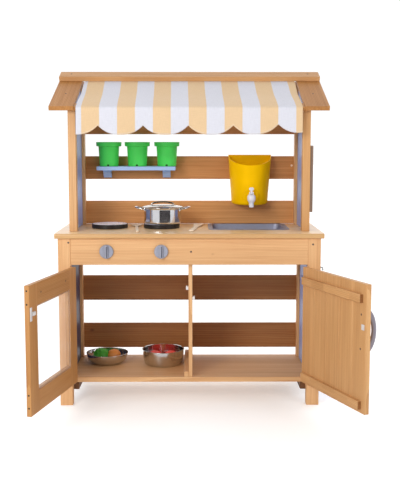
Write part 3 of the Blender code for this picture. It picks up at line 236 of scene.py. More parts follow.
def add_noise(tree, vector, scale, detail=2.0):
    """Noise of one scale, or of a scale for each axis."""
    if isinstance(scale, tuple):
        vector, scale = add_mapping(tree, vector, scale), 1.0
    return add_node(tree, "ShaderNodeTexNoise", {"Vector": vector, "Scale": scale, "Detail": detail}).outputs


def add_ramp(tree, factor, stops):
    """A colour ramp from (place, colour) stops."""
    made = add_node(tree, "ShaderNodeValToRGB", {"Fac": factor})
    ramp = made.color_ramp
    for element, (place, colour) in ((ramp.elements[0], stops[0]), (ramp.elements[1], stops[-1])):
        element.position, element.color = place, (*colour, 1)
    for place, colour in stops[1:-1]:
        ramp.elements.new(place).color = (*colour, 1)
    return made.outputs["Color"]


def add_range(tree, value, low, high, to_low, to_high):
    values = {"Value": value, "From Min": low, "From Max": high, "To Min": to_low, "To Max": to_high}
    return add_node(tree, "ShaderNodeMapRange", values).outputs["Result"]


def add_mix(tree, factor, first, second, blend="MIX"):
    made = add_node(tree, "ShaderNodeMix", data_type="RGBA", blend_type=blend)
    colours = [value if isinstance(value, bpy.types.NodeSocket) else (*value, 1) for value in (first, second)]
    set_inputs(tree, made, {0: factor, 6: colours[0], 7: colours[1]})
    return made.outputs[2]


def add_tone(tree, mask, colour, tone):
    """Multiplies a colour by a tone where a mask is 1."""
    return add_mix(tree, mask, colour, add_mix(tree, 1.0, colour, tone, "MULTIPLY"))


def add_bump(tree, height, distance, strength=0.5):
    values = {"Height": height, "Distance": distance, "Strength": strength}
    return add_node(tree, "ShaderNodeBump", values).outputs["Normal"]


def start_group(name, numbers, outputs):
    """A shader group that takes a vector and some numbers and puts out numbers, with its two end nodes."""
    group = bpy.data.node_groups.new(name, "ShaderNodeTree")
    group.interface.new_socket("Vector", in_out="INPUT", socket_type="NodeSocketVector")
    for title, value in numbers.items():
        socket = group.interface.new_socket(title, in_out="INPUT", socket_type="NodeSocketFloat")
        socket.default_value = value
    for title in outputs:
        group.interface.new_socket(title, in_out="OUTPUT", socket_type="NodeSocketFloat")
    return group, group.nodes.new("NodeGroupInput").outputs, group.nodes.new("NodeGroupOutput")


def start_material(name, colour, roughness, metallic=0.0):
    material = bpy.data.materials.new(name)
    material.use_nodes = True
    tree = material.node_tree
    shader = tree.nodes["Principled BSDF"]
    set_inputs(tree, shader, {"Base Color": (*colour, 1), "Roughness": roughness, "Metallic": metallic})
    return material, tree, shader


def place_of(tree, centre=(0, 0, 0), turn=(0, 0, 0)):
    """Object coordinates, taken from a centre and then turned."""
    coordinates = add_node(tree, "ShaderNodeTexCoord").outputs["Object"]
    return add_mapping(tree, add_vector(tree, "SUBTRACT", coordinates, centre), (1, 1, 1), turn)


def place_in_group(tree, name, vector, **values):
    """Puts a group in a material and returns its outputs. A value is named as its input, with underscores."""
    made = add_node(tree, "ShaderNodeGroup")
    made.node_tree = bpy.data.node_groups[name]
    given = {title.replace("_", " ").title(): value for title, value in values.items()}
    set_inputs(tree, made, {"Vector": vector, **given})
    return made.outputs


# Shader groups


def make_wood_grain_group():
    """Growth rings, fibres and knots of a board that runs along Z and faces Y, some way from its pith."""
    numbers = {"Pith Distance": 0.06, "Ring Scale": 60.0, "Knots": 0.5}
    group, given, wanted = start_group("wood grain", numbers, ["Grain", "Tone", "Knot", "Height"])
    wander = add_noise(group, given["Vector"], (9, 9, 1.6))["Color"]
    bend = add_vector(group, "SUBTRACT", wander, (0.5, 0.5, 0.5))
    bent = add_vector(group, "ADD", given["Vector"], add_vector(group, "SCALE", bend, scale=0.022))
    cut = add_vector(group, "ADD", bent, combine(group, Y=given["Pith Distance"]))
    rings = add_node(
        group,
        "ShaderNodeTexWave",
        {"Vector": add_mapping(group, cut, (1, 1, 0.12)), "Scale": given["Ring Scale"], "Distortion": 1.4,
         "Detail": 2.0, "Detail Scale": 1.2},
        wave_type="RINGS",
        rings_direction="Z",
        wave_profile="SAW",
    ).outputs["Fac"]
    fibres = add_noise(group, given["Vector"], (620, 620, 9), 3.0)["Fac"]
    streaks = add_noise(group, given["Vector"], (95, 95, 2.2), 3.0)["Fac"]
    ring_share = add_math(group, "MULTIPLY", rings, 0.42)
    with_streaks = add_math(group, "MULTIPLY_ADD", streaks, 0.75, ring_share)
    grain = add_math(group, "MULTIPLY_ADD", fibres, 0.35, with_streaks)
    cells = {"Vector": add_mapping(group, bent, (9, 1.2, 5.5)), "Scale": 1.0, "Randomness": 0.9}
    spots = add_node(group, "ShaderNodeTexVoronoi", cells).outputs
    chosen = add_node(group, "ShaderNodeSeparateColor", {"Color": spots["Color"]}).outputs["Red"]
    has_knot = add_math(group, "LESS_THAN", chosen, given["Knots"])
    near = add_range(group, spots["Distance"], 0.045, 0.085, 1.0, 0.0)
    relief = add_math(group, "MULTIPLY_ADD", streaks, 0.6, ring_share)
    set_inputs(group, wanted, {
        "Grain": add_range(group, grain, 0.35, 1.15, 0.0, 1.0),
        "Tone": add_noise(group, given["Vector"], (11, 11, 1.1), 1.0)["Fac"],
        "Knot": add_math(group, "MULTIPLY", near, has_knot),
        "Height": add_math(group, "MULTIPLY_ADD", fibres, 0.4, relief),
    })


def make_polish_group():
    """Turning lines of a vessel about its Z axis, with faint smears."""
    group, given, wanted = start_group("polish lines", {"Line Scale": 900.0}, ["Lines", "Smears"])
    flat = add_mapping(group, given["Vector"], (1, 1, 0))
    radius = add_node(group, "ShaderNodeVectorMath", {0: flat}, operation="LENGTH").outputs["Value"]
    section = combine(group, X=radius, Z=split(group, given["Vector"])["Z"])
    set_inputs(group, wanted, {
        "Lines": add_noise(group, section, given["Line Scale"])["Fac"],
        "Smears": add_noise(group, given["Vector"], 38.0, 3.0)["Fac"],
    })


def make_moulded_group():
    """A moulded plastic skin: fine grain, slow waves and a few rubbed marks."""
    group, given, wanted = start_group("moulded skin", {"Grain Scale": 1400.0}, ["Grain", "Waves", "Marks"])
    marks = add_noise(group, given["Vector"], 130.0, 5.0)["Fac"]
    set_inputs(group, wanted, {
        "Grain": add_noise(group, given["Vector"], given["Grain Scale"])["Fac"],
        "Waves": add_noise(group, given["Vector"], 17.0, 1.0)["Fac"],
        "Marks": add_range(group, marks, 0.56, 0.72, 0.0, 1.0),
    })


def make_weave_group():
    """Plain weave on a cloth's own UV map, in metres, with slubs along both yarns."""
    group, given, wanted = start_group("plain weave", {"Yarns": 1300.0}, ["Height", "Shade"])
    threads = split(group, add_vector(group, "SCALE", given["Vector"], scale=given["Yarns"]))
    across, along = (
        add_math(group, "SINE", add_math(group, "MULTIPLY", threads[axis], math.pi)) for axis in ("X", "Y")
    )
    over = add_math(group, "MULTIPLY", across, along)
    slubs, other = (
        add_noise(group, given["Vector"], scale, 3.0)["Fac"] for scale in ((40, 700, 1), (700, 40, 1))
    )
    both = add_math(group, "MULTIPLY_ADD", slubs, 0.5, add_math(group, "MULTIPLY", other, 0.5))
    set_inputs(group, wanted, {"Height": add_math(group, "MULTIPLY_ADD", over, 0.25, both), "Shade": both})


# Wood and paint

# Each wood is the colours of its dark grain, its light grain and its knots.
WOOD = ((0.60, 0.30, 0.125), (0.84, 0.53, 0.27), (0.26, 0.11, 0.04))
DOOR_WOOD = ((0.50, 0.24, 0.085), (0.74, 0.43, 0.19), (0.28, 0.12, 0.05))
# The left door's wood is a darker copy of the door wood: painted shade on the left leaf.
LEFT_DOOR_WOOD_PAINTED_SHADE = ((0.42, 0.18, 0.05), (0.60, 0.31, 0.11), (0.22, 0.09, 0.03))
SLAT_WOOD = ((0.42, 0.16, 0.045), (0.68, 0.33, 0.115), (0.20, 0.075, 0.025))
# The roof wood is darkened as painted shade, for the dim light on the roof's upward faces.
ROOF_WOOD_PAINTED_SHADE = ((0.34, 0.14, 0.040), (0.56, 0.265, 0.082), (0.17, 0.065, 0.017))
RIDGE_WOOD = ((0.45, 0.22, 0.088), (0.70, 0.39, 0.168), (0.22, 0.09, 0.035))
# The worktop's wood is lightened as painted light, for the light its shaded top lacks under the roof.
WORKTOP_WOOD_PAINTED_LIGHT = ((0.98, 0.60, 0.29), (1.0, 0.76, 0.44), (0.55, 0.28, 0.12))
# The cabinet slats' wood is a darker copy of the slat wood: painted shade inside the cabinet.
CABINET_WOOD_PAINTED_SHADE = ((0.27, 0.098, 0.028), (0.46, 0.215, 0.075), (0.14, 0.05, 0.018))
# The bottom back slat's wood is a lighter copy of the slat wood: painted light.
LOW_SLAT_WOOD_PAINTED_LIGHT = ((0.56, 0.23, 0.07), (0.86, 0.45, 0.17), (0.26, 0.10, 0.035))
# The shelf rails' wood is nearly black: painted shade.
RAIL_WOOD_PAINTED_SHADE = ((0.12, 0.05, 0.02), (0.24, 0.11, 0.045), (0.08, 0.03, 0.012))
BOARD_EDGE_WOOD = ((0.16, 0.10, 0.07), (0.26, 0.17, 0.12), (0.08, 0.04, 0.02))
BEECH = ((0.88, 0.70, 0.52), (0.98, 0.88, 0.74), (0.50, 0.28, 0.13))
GREY_BLUE = (0.33, 0.43, 0.80)
# The pot shelf's paint is a lighter copy of the side panels' grey-blue: painted light.
SHELF_BLUE_PAINTED_LIGHT = (0.375, 0.55, 0.88)


def lay_board(tree, axes, along, normal):
    """A board's own coordinates: X across it, Y through it and Z along it."""
    across = ({"X", "Y", "Z"} - {along, normal}).pop()
    return across, combine(tree, X=axes[across], Y=axes[normal], Z=axes[along])


def wood_material(
    name, colours, along, normal, seed, turn=(0, 0, 0), centre=(0, 0, 0), pith=0.07, knots=0.22, rails=None,
    plank=0, varnish=0.12, edge=None, ends=None
):
    """Satin stained wood. along and normal are the board's axes, once it is turned flat.

    The grain runs across instead between the two places that rails gives on one axis. Planks of a given
    width each have their own grain and tone. A strip below a place on Y can have a darker tone of its own,
    which keeps the worktop's front edge near its own colour under a top painted lighter as painted light,
    and the rails' ends, below a place on X, can have a tone of their own.
    """
    dark, light, knot = colours
    material, tree, shader = start_material(name, light, 0.5)
    axes = split(tree, place_of(tree, centre, turn))
    across, board = lay_board(tree, axes, along, normal)
    if rails:
        _, other = lay_board(tree, axes, across, normal)
        axis, low, high = rails
        inside = add_math(tree, "COMPARE", axes[axis], (low + high) / 2, (high - low) / 2)
        board = add_mix(tree, inside, board, other)
    moved = add_vector(tree, "ADD", board, (0.031 * seed, 0.0, 1.37 * seed))
    if plank:
        number = add_math(tree, "FLOOR", add_math(tree, "DIVIDE", axes[across], plank))
        moved = add_vector(tree, "ADD", moved, combine(tree, Z=add_math(tree, "MULTIPLY", number, 0.83)))
    grain = place_in_group(tree, "wood grain", moved, pith_distance=pith, knots=knots)
    colour = add_ramp(tree, grain["Grain"], [(0.05, light), (0.95, dark)])
    shade = add_ramp(tree, grain["Tone"], [(0.3, (0.86, 0.84, 0.82)), (0.7, (1.0, 1.0, 1.0))])
    toned = add_mix(tree, 1.0, colour, shade, "MULTIPLY")
    if edge:
        toned = add_tone(tree, add_math(tree, "LESS_THAN", axes["Y"], edge[0]), toned, edge[1])
    if ends:
        at_end = add_math(tree, "MULTIPLY", inside, add_math(tree, "LESS_THAN", axes["X"], ends[0]))
        toned = add_tone(tree, at_end, toned, ends[1])
    set_inputs(tree, shader, {
        "Base Color": add_mix(tree, grain["Knot"], toned, knot),
        "Roughness": add_range(tree, grain["Grain"], 0, 1, 0.42, 0.60),
        "Normal": add_bump(tree, grain["Height"], 0.0006, 0.35),
        "Coat Weight": varnish,
        "Coat Roughness": 0.35,
        "Specular IOR Level": 0.25,
    })
    return material


def paint_material(name, colour, along, normal, seed, deep=None):
    """Satin paint over wood: the grain shows as a faint relief, with thin rubbed spots.

    A panel's face past a place on X can have a darker tone of its own: painted shade.
    """
    material, tree, shader = start_material(name, colour, 0.42)
    axes = split(tree, place_of(tree))
    moved = add_vector(tree, "ADD", lay_board(tree, axes, along, normal)[1], (0.027 * seed, 0, 0.9 * seed))
    grain = place_in_group(tree, "wood grain", moved, pith_distance=0.08, knots=0.1)
    streaked = add_ramp(tree, grain["Grain"], [(0.2, colour), (0.9, darker(colour, 0.86))])
    shade = add_ramp(tree, grain["Tone"], [(0.3, (0.94, 0.94, 0.95)), (0.7, (1, 1, 1))])
    painted = add_mix(tree, 1.0, streaked, shade, "MULTIPLY")
    if deep:
        painted = add_tone(tree, add_math(tree, "GREATER_THAN", axes["X"], deep[0]), painted, deep[1])
    set_inputs(tree, shader, {
        "Base Color": painted,
        "Roughness": add_range(tree, grain["Tone"], 0.2, 0.8, 0.36, 0.50),
        "Normal": add_bump(tree, grain["Height"], 0.0004, 0.3),
    })
    return material


# Metal and plastic


def darker(colour, share):
    return tuple(part * share for part in colour)


def steel_material(name, centre, colour=(0.66, 0.66, 0.67), rough=(0.06, 0.13), line_scale=900.0):
    """Polished stainless steel, turned about an upright axis through the centre."""
    material, tree, shader = start_material(name, colour, rough[0], 1.0)
    polish = place_in_group(tree, "polish lines", place_of(tree, tuple(centre)), line_scale=line_scale)
    smears = add_math(tree, "MULTIPLY", polish["Smears"], 0.5)
    both = add_math(tree, "MULTIPLY_ADD", polish["Lines"], 0.5, smears)
    set_inputs(tree, shader, {
        "Roughness": add_range(tree, both, 0.35, 0.65, *rough),
        "Base Color": add_ramp(tree, polish["Smears"], [(0.3, darker(colour, 0.86)), (0.7, colour)]),
        "Normal": add_bump(tree, polish["Lines"], 0.00002, 0.15),
    })
    return material


def start_moulded(name, colour, rough, metallic=0.0):
    """A material with the moulded skin's outputs."""
    material, tree, shader = start_material(name, colour, rough, metallic)
    return material, tree, shader, place_in_group(tree, "moulded skin", place_of(tree))


def plastic_material(name, colour, rough=(0.25, 0.38), grain_depth=0.00006, shine=0.3, deeper=0.90):
    """Moulded plastic with a fine skin, slow colour variation and faint rubbed marks."""
    material, tree, shader, skin = start_moulded(name, colour, rough[0])
    waves = add_math(tree, "MULTIPLY", skin["Waves"], 0.5)
    marked = add_math(tree, "MULTIPLY_ADD", skin["Marks"], 0.5, waves)
    set_inputs(tree, shader, {
        "Base Color": add_ramp(tree, skin["Waves"], [(0.3, darker(colour, deeper)), (0.65, colour)]),
        "Roughness": add_range(tree, marked, 0.2, 0.8, *rough),
        "Normal": add_bump(tree, skin["Grain"], grain_depth, 0.4),
        "Specular IOR Level": shine,
    })
    return material


def pane_material():
    """Clear acrylic sheet with faint wiping smears."""
    material, tree, shader, skin = start_moulded("clear_acrylic", (0.94, 0.96, 0.97), 0.06)
    set_inputs(tree, shader, {
        "Roughness": add_range(tree, skin["Waves"], 0.3, 0.7, 0.03, 0.09),
        "Alpha": add_range(tree, skin["Marks"], 0.0, 1.0, 0.10, 0.17),
        "IOR": 1.49,
    })
    return material


def dark_metal_material(name, colour, rough=(0.32, 0.5), metallic=0.9):
    """Plated steel with a mottled finish, for hinges, screws and hob plates."""
    material, tree, shader, skin = start_moulded(name, colour, rough[0], metallic)
    set_inputs(tree, shader, {
        "Roughness": add_range(tree, skin["Waves"], 0.3, 0.7, *rough),
        "Base Color": add_ramp(tree, skin["Marks"], [(0.0, colour), (1.0, darker(colour, 0.8))]),
        "Normal": add_bump(tree, skin["Grain"], 0.00004, 0.3),
    })
    return material


def chalkboard_material():
    """Matt dark board with wiped chalk dust."""
    material, tree, shader, skin = start_moulded("chalkboard_face", (0.03, 0.035, 0.035), 0.85)
    dusty = [(0.35, (0.025, 0.028, 0.028)), (0.75, (0.07, 0.075, 0.075))]
    set_inputs(tree, shader, {
        "Base Color": add_ramp(tree, skin["Waves"], dusty),
        "Roughness": add_range(tree, skin["Marks"], 0, 1, 0.78, 0.92),
        "Normal": add_bump(tree, skin["Grain"], 0.0001, 0.5),
    })
    return material


# Mesh helpers


def moved_to(bm, place):
    """Moves a bmesh by a matrix, or by a vector."""
    matrix = Matrix.Translation(place) if isinstance(place, Vector) else place
    bmesh.ops.transform(bm, matrix=matrix, verts=bm.verts)
    return bm


def new_piece(name, bm, material, body, replaces=(), sharp=35.0, move=None):
    """Makes a piece from a bmesh that is already in place, or that move puts there."""
    if move is not None:
        moved_to(bm, move)
    piece = make_object(name, bm)
    piece.data.shade_smooth()
    piece.data.set_sharp_from_angle(angle=math.radians(sharp))
    piece.data.materials.append(material)
    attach(piece, body)
    if replaces:
        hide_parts(*replaces)
    return piece


def close_up(bm):
    """Merges doubled points and turns every face outwards."""
    bmesh.ops.remove_doubles(bm, verts=bm.verts, dist=MERGE)
    bmesh.ops.recalc_face_normals(bm, faces=bm.faces)
    return bm


def rounded(profile, radius, steps=4):
    """A profile whose inner corners are rounded to the given radius, where there is room.

    A point just before and just after each arc keeps the straight walls' shading true.
    """
    result = [profile[0]]
    for before, corner, after in zip(profile, profile[1:], profile[2:]):
        corner = Vector(corner)
        back, on = Vector(before) - corner, Vector(after) - corner
        reach = min(radius, back.length * 0.45, on.length * 0.45)
        start, end = (corner + side.normalized() * reach for side in (back, on))
        result.append(tuple(corner + back.normalized() * min(reach * 1.4, back.length * 0.48)))
        for step in range(steps + 1):
            share = step / steps
            result.append(tuple(start.lerp(corner, share).lerp(corner.lerp(end, share), share)))
        result.append(tuple(corner + on.normalized() * min(reach * 1.4, on.length * 0.48)))
    result.append(profile[-1])
    return result


def turned(profile, steps=TURN_STEPS, radius=0, arc_steps=4):
    """A closed solid from a (radius, height) profile, spun about Z. Its corners can be rounded first."""
    if radius:
        profile = rounded(profile, radius, arc_steps)
    bm = bmesh.new()
    points = [bm.verts.new((out, 0, height)) for out, height in profile]
    edges = [bm.edges.new(pair) for pair in zip(points, points[1:])]
    bmesh.ops.spin(
        bm, geom=points + edges, cent=(0, 0, 0), axis=Z, angle=2 * math.pi, steps=steps, use_merge=True
    )
    return close_up(bm)


def lofted(rings):
    """Skins rings of points, with equal counts, and caps the first and last."""
    bm = bmesh.new()
    loops = [[bm.verts.new(point) for point in ring] for ring in rings]
    for near, far in zip(loops, loops[1:]):
        for corners in zip(near, near[1:] + near[:1], far[1:] + far[:1], far):
            bm.faces.new(corners)
    bm.faces.new(loops[0])
    bm.faces.new(loops[-1])
    return close_up(bm)


def rod(path, radius, sides=14):
    """A round rod along a path, swept by turning its end circle round each bend."""
    points = [Vector(point) for point in path]
    side = (points[1] - points[0]).orthogonal().normalized()
    turns = [2 * math.pi * step / sides for step in range(sides)]
    rings = []
    for index, point in enumerate(points):
        ahead = (points[min(index + 1, len(points) - 1)] - points[max(index - 1, 0)]).normalized()
        side = (side - ahead * side.dot(ahead)).normalized()
        up = ahead.cross(side)
        rings.append([point + radius * (math.cos(turn) * side + math.sin(turn) * up) for turn in turns])
    return lofted(rings)


def soften(bm, edge, segments):
    bmesh.ops.bevel(
        bm, geom=bm.edges, offset=edge, segments=segments, profile=0.5, affect="EDGES", material=-1
    )
    return bm


def block(low, high, edge=0.0008, segments=2):
    """A bar between two corners, with rounded edges."""
    low, high = Vector(low), Vector(high)
    bm = bmesh.new()
    bmesh.ops.create_cube(bm, size=1)
    size = Matrix.Diagonal((*(high - low), 1))
    return soften(moved_to(bm, Matrix.Translation((low + high) / 2) @ size), edge, segments)


def drawn_out(outline, along, edge, segments):
    """A plate of an outline's shape, drawn out along a vector, with rounded edges."""
    bm = bmesh.new()
    face = bm.faces.new([bm.verts.new(point) for point in outline])
    made = bmesh.ops.extrude_face_region(bm, geom=[face])["geom"]
    bmesh.ops.translate(bm, vec=along, verts=[part for part in made if isinstance(part, bmesh.types.BMVert)])
    return soften(close_up(bm), edge, segments)


def join(target, other):
    """Adds another bmesh to the target and frees it."""
    mesh = bpy.data.meshes.new("joined")
    other.to_mesh(mesh)
    other.free()
    target.from_mesh(mesh)
    bpy.data.meshes.remove(mesh)
    return target


def facing(place, normal):
    """Puts local Z on a surface's normal, at a place."""
    return Matrix.Translation(place) @ Vector(normal).to_track_quat("Z", "Y").to_matrix().to_4x4()


def rounded_power(value, power):
    """A sine or cosine raised to a power with its sign kept, which squares off a round section."""
    return math.copysign(abs(value) ** power, value)


def middle_of(node):
    low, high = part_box(node)
    return (Vector(low) + Vector(high)) / 2


def base_of(node):
    """The middle of the CAD part's underside."""
    low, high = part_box(node)
    return Vector(((low[0] + high[0]) / 2, (low[1] + high[1]) / 2, low[2]))


def on_surface(name, start, direction):
    """The place and outward normal where a line from start meets a CAD part."""
    mesh = nodes[name].data
    points, faces = [vert.co for vert in mesh.vertices], [face.vertices for face in mesh.polygons]
    return BVHTree.FromPolygons(points, faces).ray_cast(start, direction)[:2]


# Places shared by several pieces

front_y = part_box("front_leg_left")[0][1]
worktop_low, worktop_high = (Vector(corner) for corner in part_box("worktop"))
DOOR_INNER_FACE = 0.0195
DOOR_OUTER_FACE = 0.0035
DOOR_FREE_EDGE = 0.42235
LEFT_RAILS = ("X", 0.0712, 0.3523)
BATTENS = ("Y", DOOR_INNER_FACE + 0.0002, DOOR_INNER_FACE + 0.05)
BATTEN_INSET = 0.022
BATTEN_END_TONE = (0.50, 0.40, 0.32)
PLANK = 0.08424


def door_place(joint_name, end):
    """The matrix that stands a leaf open, from its place when shut with its hinge line at X 0, Y 0."""
    joint = joints[joint_name]
    shut = math.radians(joint["range_deg"][end])
    x, y, _ = joint["pos_m"]
    return Matrix.Translation((x, y, 0)) @ Matrix.Rotation(-shut, 4, "Z"), -shut


left_door_place, left_door_turn = door_place("left_door_hinge", 1)
right_door_place, right_door_turn = door_place("right_door_hinge", 0)


# Wood and paint on the CAD boards

ROOF_SLOPE = math.radians(20.73)
NOSE_DEPTH = 0.004
# Darkens the worktop's front edge back towards its own colour, under a top painted lighter as painted light.
NOSE_TONE = (0.70, 0.60, 0.46)
# Painted shade for the left lower panel's inner face.
INNER_PANEL_PAINTED_SHADE = (0.15, 0.11, 0.14)
SIDES = ("left", "right")
UPRIGHT_BOARDS = [
    f"{end}_{kind}_{side}" for kind in ("leg", "upright") for end in ("front", "rear") for side in SIDES
]
PAINTED_PANELS = [f"{level}_side_panel_{side}" for level in ("lower", "upper") for side in SIDES]
CROSS_BOARDS = {
    "apron": WOOD, "cabinet_slat_lower": CABINET_WOOD_PAINTED_SHADE, "cabinet_slat_upper": CABINET_WOOD_PAINTED_SHADE,
    "back_slat_bottom": LOW_SLAT_WOOD_PAINTED_LIGHT, "back_slat_middle": SLAT_WOOD, "back_slat_top": SLAT_WOOD,
}
SIDE_RAILS = {"shelf_rail_left": RAIL_WOOD_PAINTED_SHADE, "shelf_rail_right": RAIL_WOOD_PAINTED_SHADE, "divider_cleat": WOOD}


def dress_node(name, material):
    mesh = nodes[name].data
    mesh.materials.clear()
    mesh.materials.append(material)


def dress_in_wood(name, *board, label=None, **looks):
    dress_node(name, wood_material((label or name) + "_wood", *board, **looks))


def dress_boards():
    for number, name in enumerate(UPRIGHT_BOARDS):
        colours = DOOR_WOOD if name == "front_upright_right" else WOOD
        dress_in_wood(name, colours, "Z", "Y", number + 1, pith=0.05, knots=0.12)
    for number, (name, colours) in enumerate(CROSS_BOARDS.items()):
        dress_in_wood(name, colours, "X", "Y", number + 11, pith=0.09)
    # Painted light on the worktop's top, toned back down at its front edge.
    nose = (worktop_low.y + NOSE_DEPTH, NOSE_TONE)
    dress_in_wood("worktop", WORKTOP_WOOD_PAINTED_LIGHT, "X", "Z", 21, pith=0.11, varnish=0.9, edge=nose)
    dress_in_wood("bottom_shelf", WOOD, "X", "Z", 22, pith=0.11)
    for number, (name, colours) in enumerate(SIDE_RAILS.items()):
        dress_in_wood(name, colours, "Y", "Z", number + 31)
    dress_in_wood("divider", WOOD, "Z", "X", 35)
    slope = (-ROOF_SLOPE, 0, 0)
    for number, name in enumerate(("roof_board_left", "roof_board_right")):
        dress_in_wood(name, ROOF_WOOD_PAINTED_SHADE, "Y", "Z", number + 41, slope, tuple(middle_of(name)), varnish=0.0)
    middle = tuple(middle_of("ridge_board"))
    dress_in_wood("ridge_board", RIDGE_WOOD, "X", "Z", 45, slope, middle, label="ridge", varnish=0.0)
    dress_in_wood("roof_front_rail", ROOF_WOOD_PAINTED_SHADE, "X", "Z", 47, slope, label="rail")
    dress_in_wood("side_chalkboard", BOARD_EDGE_WOOD, "Z", "X", 49, label="board_rim")
    for number, name in enumerate(PAINTED_PANELS):
        # Painted shade: the left lower panel's inner face, past its middle, is darkened.
        deep = (middle_of(name).x, INNER_PANEL_PAINTED_SHADE) if name == "lower_side_panel_left" else None
        dress_node(name, paint_material(name + "_paint", GREY_BLUE, "Z", "X", number + 1, deep))
    dress_node("pot_shelf", paint_material("pot_shelf_lit_paint", SHELF_BLUE_PAINTED_LIGHT, "X", "Z", 9))


def dress_doors():
    turn, centre = (0, 0, -left_door_turn), tuple(left_door_place.translation)
    dress_in_wood(
        "left_door_frame", LEFT_DOOR_WOOD_PAINTED_SHADE, "Z", "Y", 51, turn, centre, label="left_door", rails=LEFT_RAILS
    )
    dress_node("left_door_pane", pane_material())
    turn, centre = (0, 0, -right_door_turn), tuple(right_door_place.translation)
    sawn = (BATTEN_INSET - DOOR_FREE_EDGE + 0.0008, BATTEN_END_TONE)
    dress_in_wood(
        "right_door_panel", DOOR_WOOD, "Z", "Y", 55, turn, centre, label="right_door", pith=0.05,
        rails=BATTENS, plank=PLANK, ends=sawn
    )
    hinge_metal = dark_metal_material("hinge_metal", (0.20, 0.19, 0.18))
    for name in nodes:
        if "_hinge_" in name:
            dress_node(name, hinge_metal)


# Canopy

CLOTH_THICKNESS = 0.0014
CLOTH_SAG = 0.007
CLOTH_TUCK = 0.036
ROOF_FRONT_Y = front_y + 0.044
ROOF_FRONT_Z = 1.0642
RIDGE_FRONT = 0.294
FRONT_RAIL_WIDTH = 0.040
CLOTH_LEVEL = 0.016 - CLOTH_THICKNESS / 2
FOLD_BEND = CLOTH_THICKNESS / 2 + GAP
SAG_STEPS = 24
PUCKER = 0.0009
VALANCE_DROP = 0.0975
VALANCE_LEAN = 0.0012
VALANCE_WAVE = 0.0035
SCALLOP_DEPTH = 0.0325
SCALLOP_POWER = 2.6
SCALLOP_PITCH = 0.1605
SCALLOP_SHIFT = -0.004
HEM_RISE = 0.007
HEM_RISE_START = 0.2
HEM_BAND = 0.0045
STRIPE_WIDTH = 0.0636
FIRST_STRIPE = 0.077
STRIPE_DRIFT = 0.006
CANOPY_COLUMNS = 240
SLOPE_ROWS = 44
VALANCE_ROWS = 22
WHITE_CLOTH = (0.67, 0.675, 0.745)
OCHRE_CLOTH = (0.74, 0.53, 0.315)
HEM_COLOUR = (0.52, 0.42, 0.36)
THREAD_COLOUR = (0.9, 0.88, 0.86)


def scallop_drop(x):
    """How far the valance hangs at x from the middle: round lobes, a little short at the right end."""
    offset = (x - SCALLOP_SHIFT) / SCALLOP_PITCH
    share = abs(offset - math.floor(offset) - 0.5) * 2
    short = HEM_RISE * max(0, (x - HEM_RISE_START) / HEM_RISE_START)
    return VALANCE_DROP - SCALLOP_DEPTH * share**SCALLOP_POWER - short


def slope_line():
    """The cloth's line from under the ridge to the fold, as (y, z), with its length up to each point."""
    line = [(RIDGE_FRONT + CLOTH_TUCK, CLOTH_LEVEL)]
    for step in range(SAG_STEPS + 1):
        share = step / SAG_STEPS
        place = RIDGE_FRONT + (FRONT_RAIL_WIDTH - RIDGE_FRONT) * share
        line.append((place, CLOTH_LEVEL - CLOTH_SAG * math.sin(math.pi * share) ** 2))
    line += [(0.004, CLOTH_LEVEL), (-FOLD_BEND, CLOTH_LEVEL), (-2 * FOLD_BEND, CLOTH_LEVEL - FOLD_BEND)]
    cosine, sine = math.cos(ROOF_SLOPE), math.sin(ROOF_SLOPE)
    points = []
    for along, up in line:
        y = ROOF_FRONT_Y + along * cosine - up * sine
        points.append(Vector((y, ROOF_FRONT_Z + along * sine + up * cosine)))
    lengths = [0.0]
    for before, after in zip(points, points[1:]):
        lengths.append(lengths[-1] + (after - before).length)
    return points, lengths


def along_line(points, lengths, distance):
    index = 1
    while index < len(points) - 1 and distance > lengths[index]:
        index += 1
    span = lengths[index] - lengths[index - 1]
    share = min(max((distance - lengths[index - 1]) / span, 0), 1)
    return points[index - 1].lerp(points[index], share)


def canvas_material():
    """Plain-woven cloth in two colours, striped by its own UV map, with creases and a stitched hem."""
    material, tree, shader = start_material("striped_canvas", OCHRE_CLOTH, 0.85)
    uv = add_node(tree, "ShaderNodeUVMap", uv_map="cloth").outputs["UV"]
    weave = place_in_group(tree, "plain weave", uv)
    moved = add_math(tree, "SUBTRACT", split(tree, uv)["X"], FIRST_STRIPE)
    wrapped = add_math(tree, "FRACT", add_math(tree, "DIVIDE", moved, 2 * STRIPE_WIDTH))
    cloth = add_mix(tree, add_math(tree, "LESS_THAN", wrapped, 0.5), OCHRE_CLOTH, WHITE_CLOTH)
    edge = split(tree, add_node(tree, "ShaderNodeUVMap", uv_map="hem").outputs["UV"])
    seam = add_math(tree, "COMPARE", edge["Y"], HEM_BAND, 0.0006)
    stitches = add_math(tree, "FRACT", add_math(tree, "MULTIPLY", edge["X"], 300.0))
    thread = add_math(tree, "MULTIPLY", seam, add_math(tree, "GREATER_THAN", stitches, 0.3))
    hem = add_math(tree, "LESS_THAN", edge["Y"], HEM_BAND)
    cloth = add_mix(tree, add_math(tree, "MULTIPLY", hem, 0.16), cloth, HEM_COLOUR)
    cloth = add_mix(tree, add_math(tree, "MULTIPLY", thread, 0.5), cloth, THREAD_COLOUR)
    shade = add_ramp(tree, weave["Shade"], [(0.3, (0.88, 0.88, 0.88)), (0.65, (1, 1, 1))])
    creases = add_noise(tree, uv, 13.0)["Fac"]
    creased = add_math(tree, "MULTIPLY_ADD", creases, 8.0, weave["Height"])
    height = add_math(tree, "MULTIPLY_ADD", hem, 1.5, creased)
    set_inputs(tree, shader, {
        "Base Color": add_mix(tree, 1.0, cloth, shade, "MULTIPLY"),
        "Normal": add_bump(tree, height, 0.0004, 0.45),
        "Specular IOR Level": 0.15,
        "Sheen Weight": 0.08,
        "Sheen Roughness": 0.5,
    })
    return material


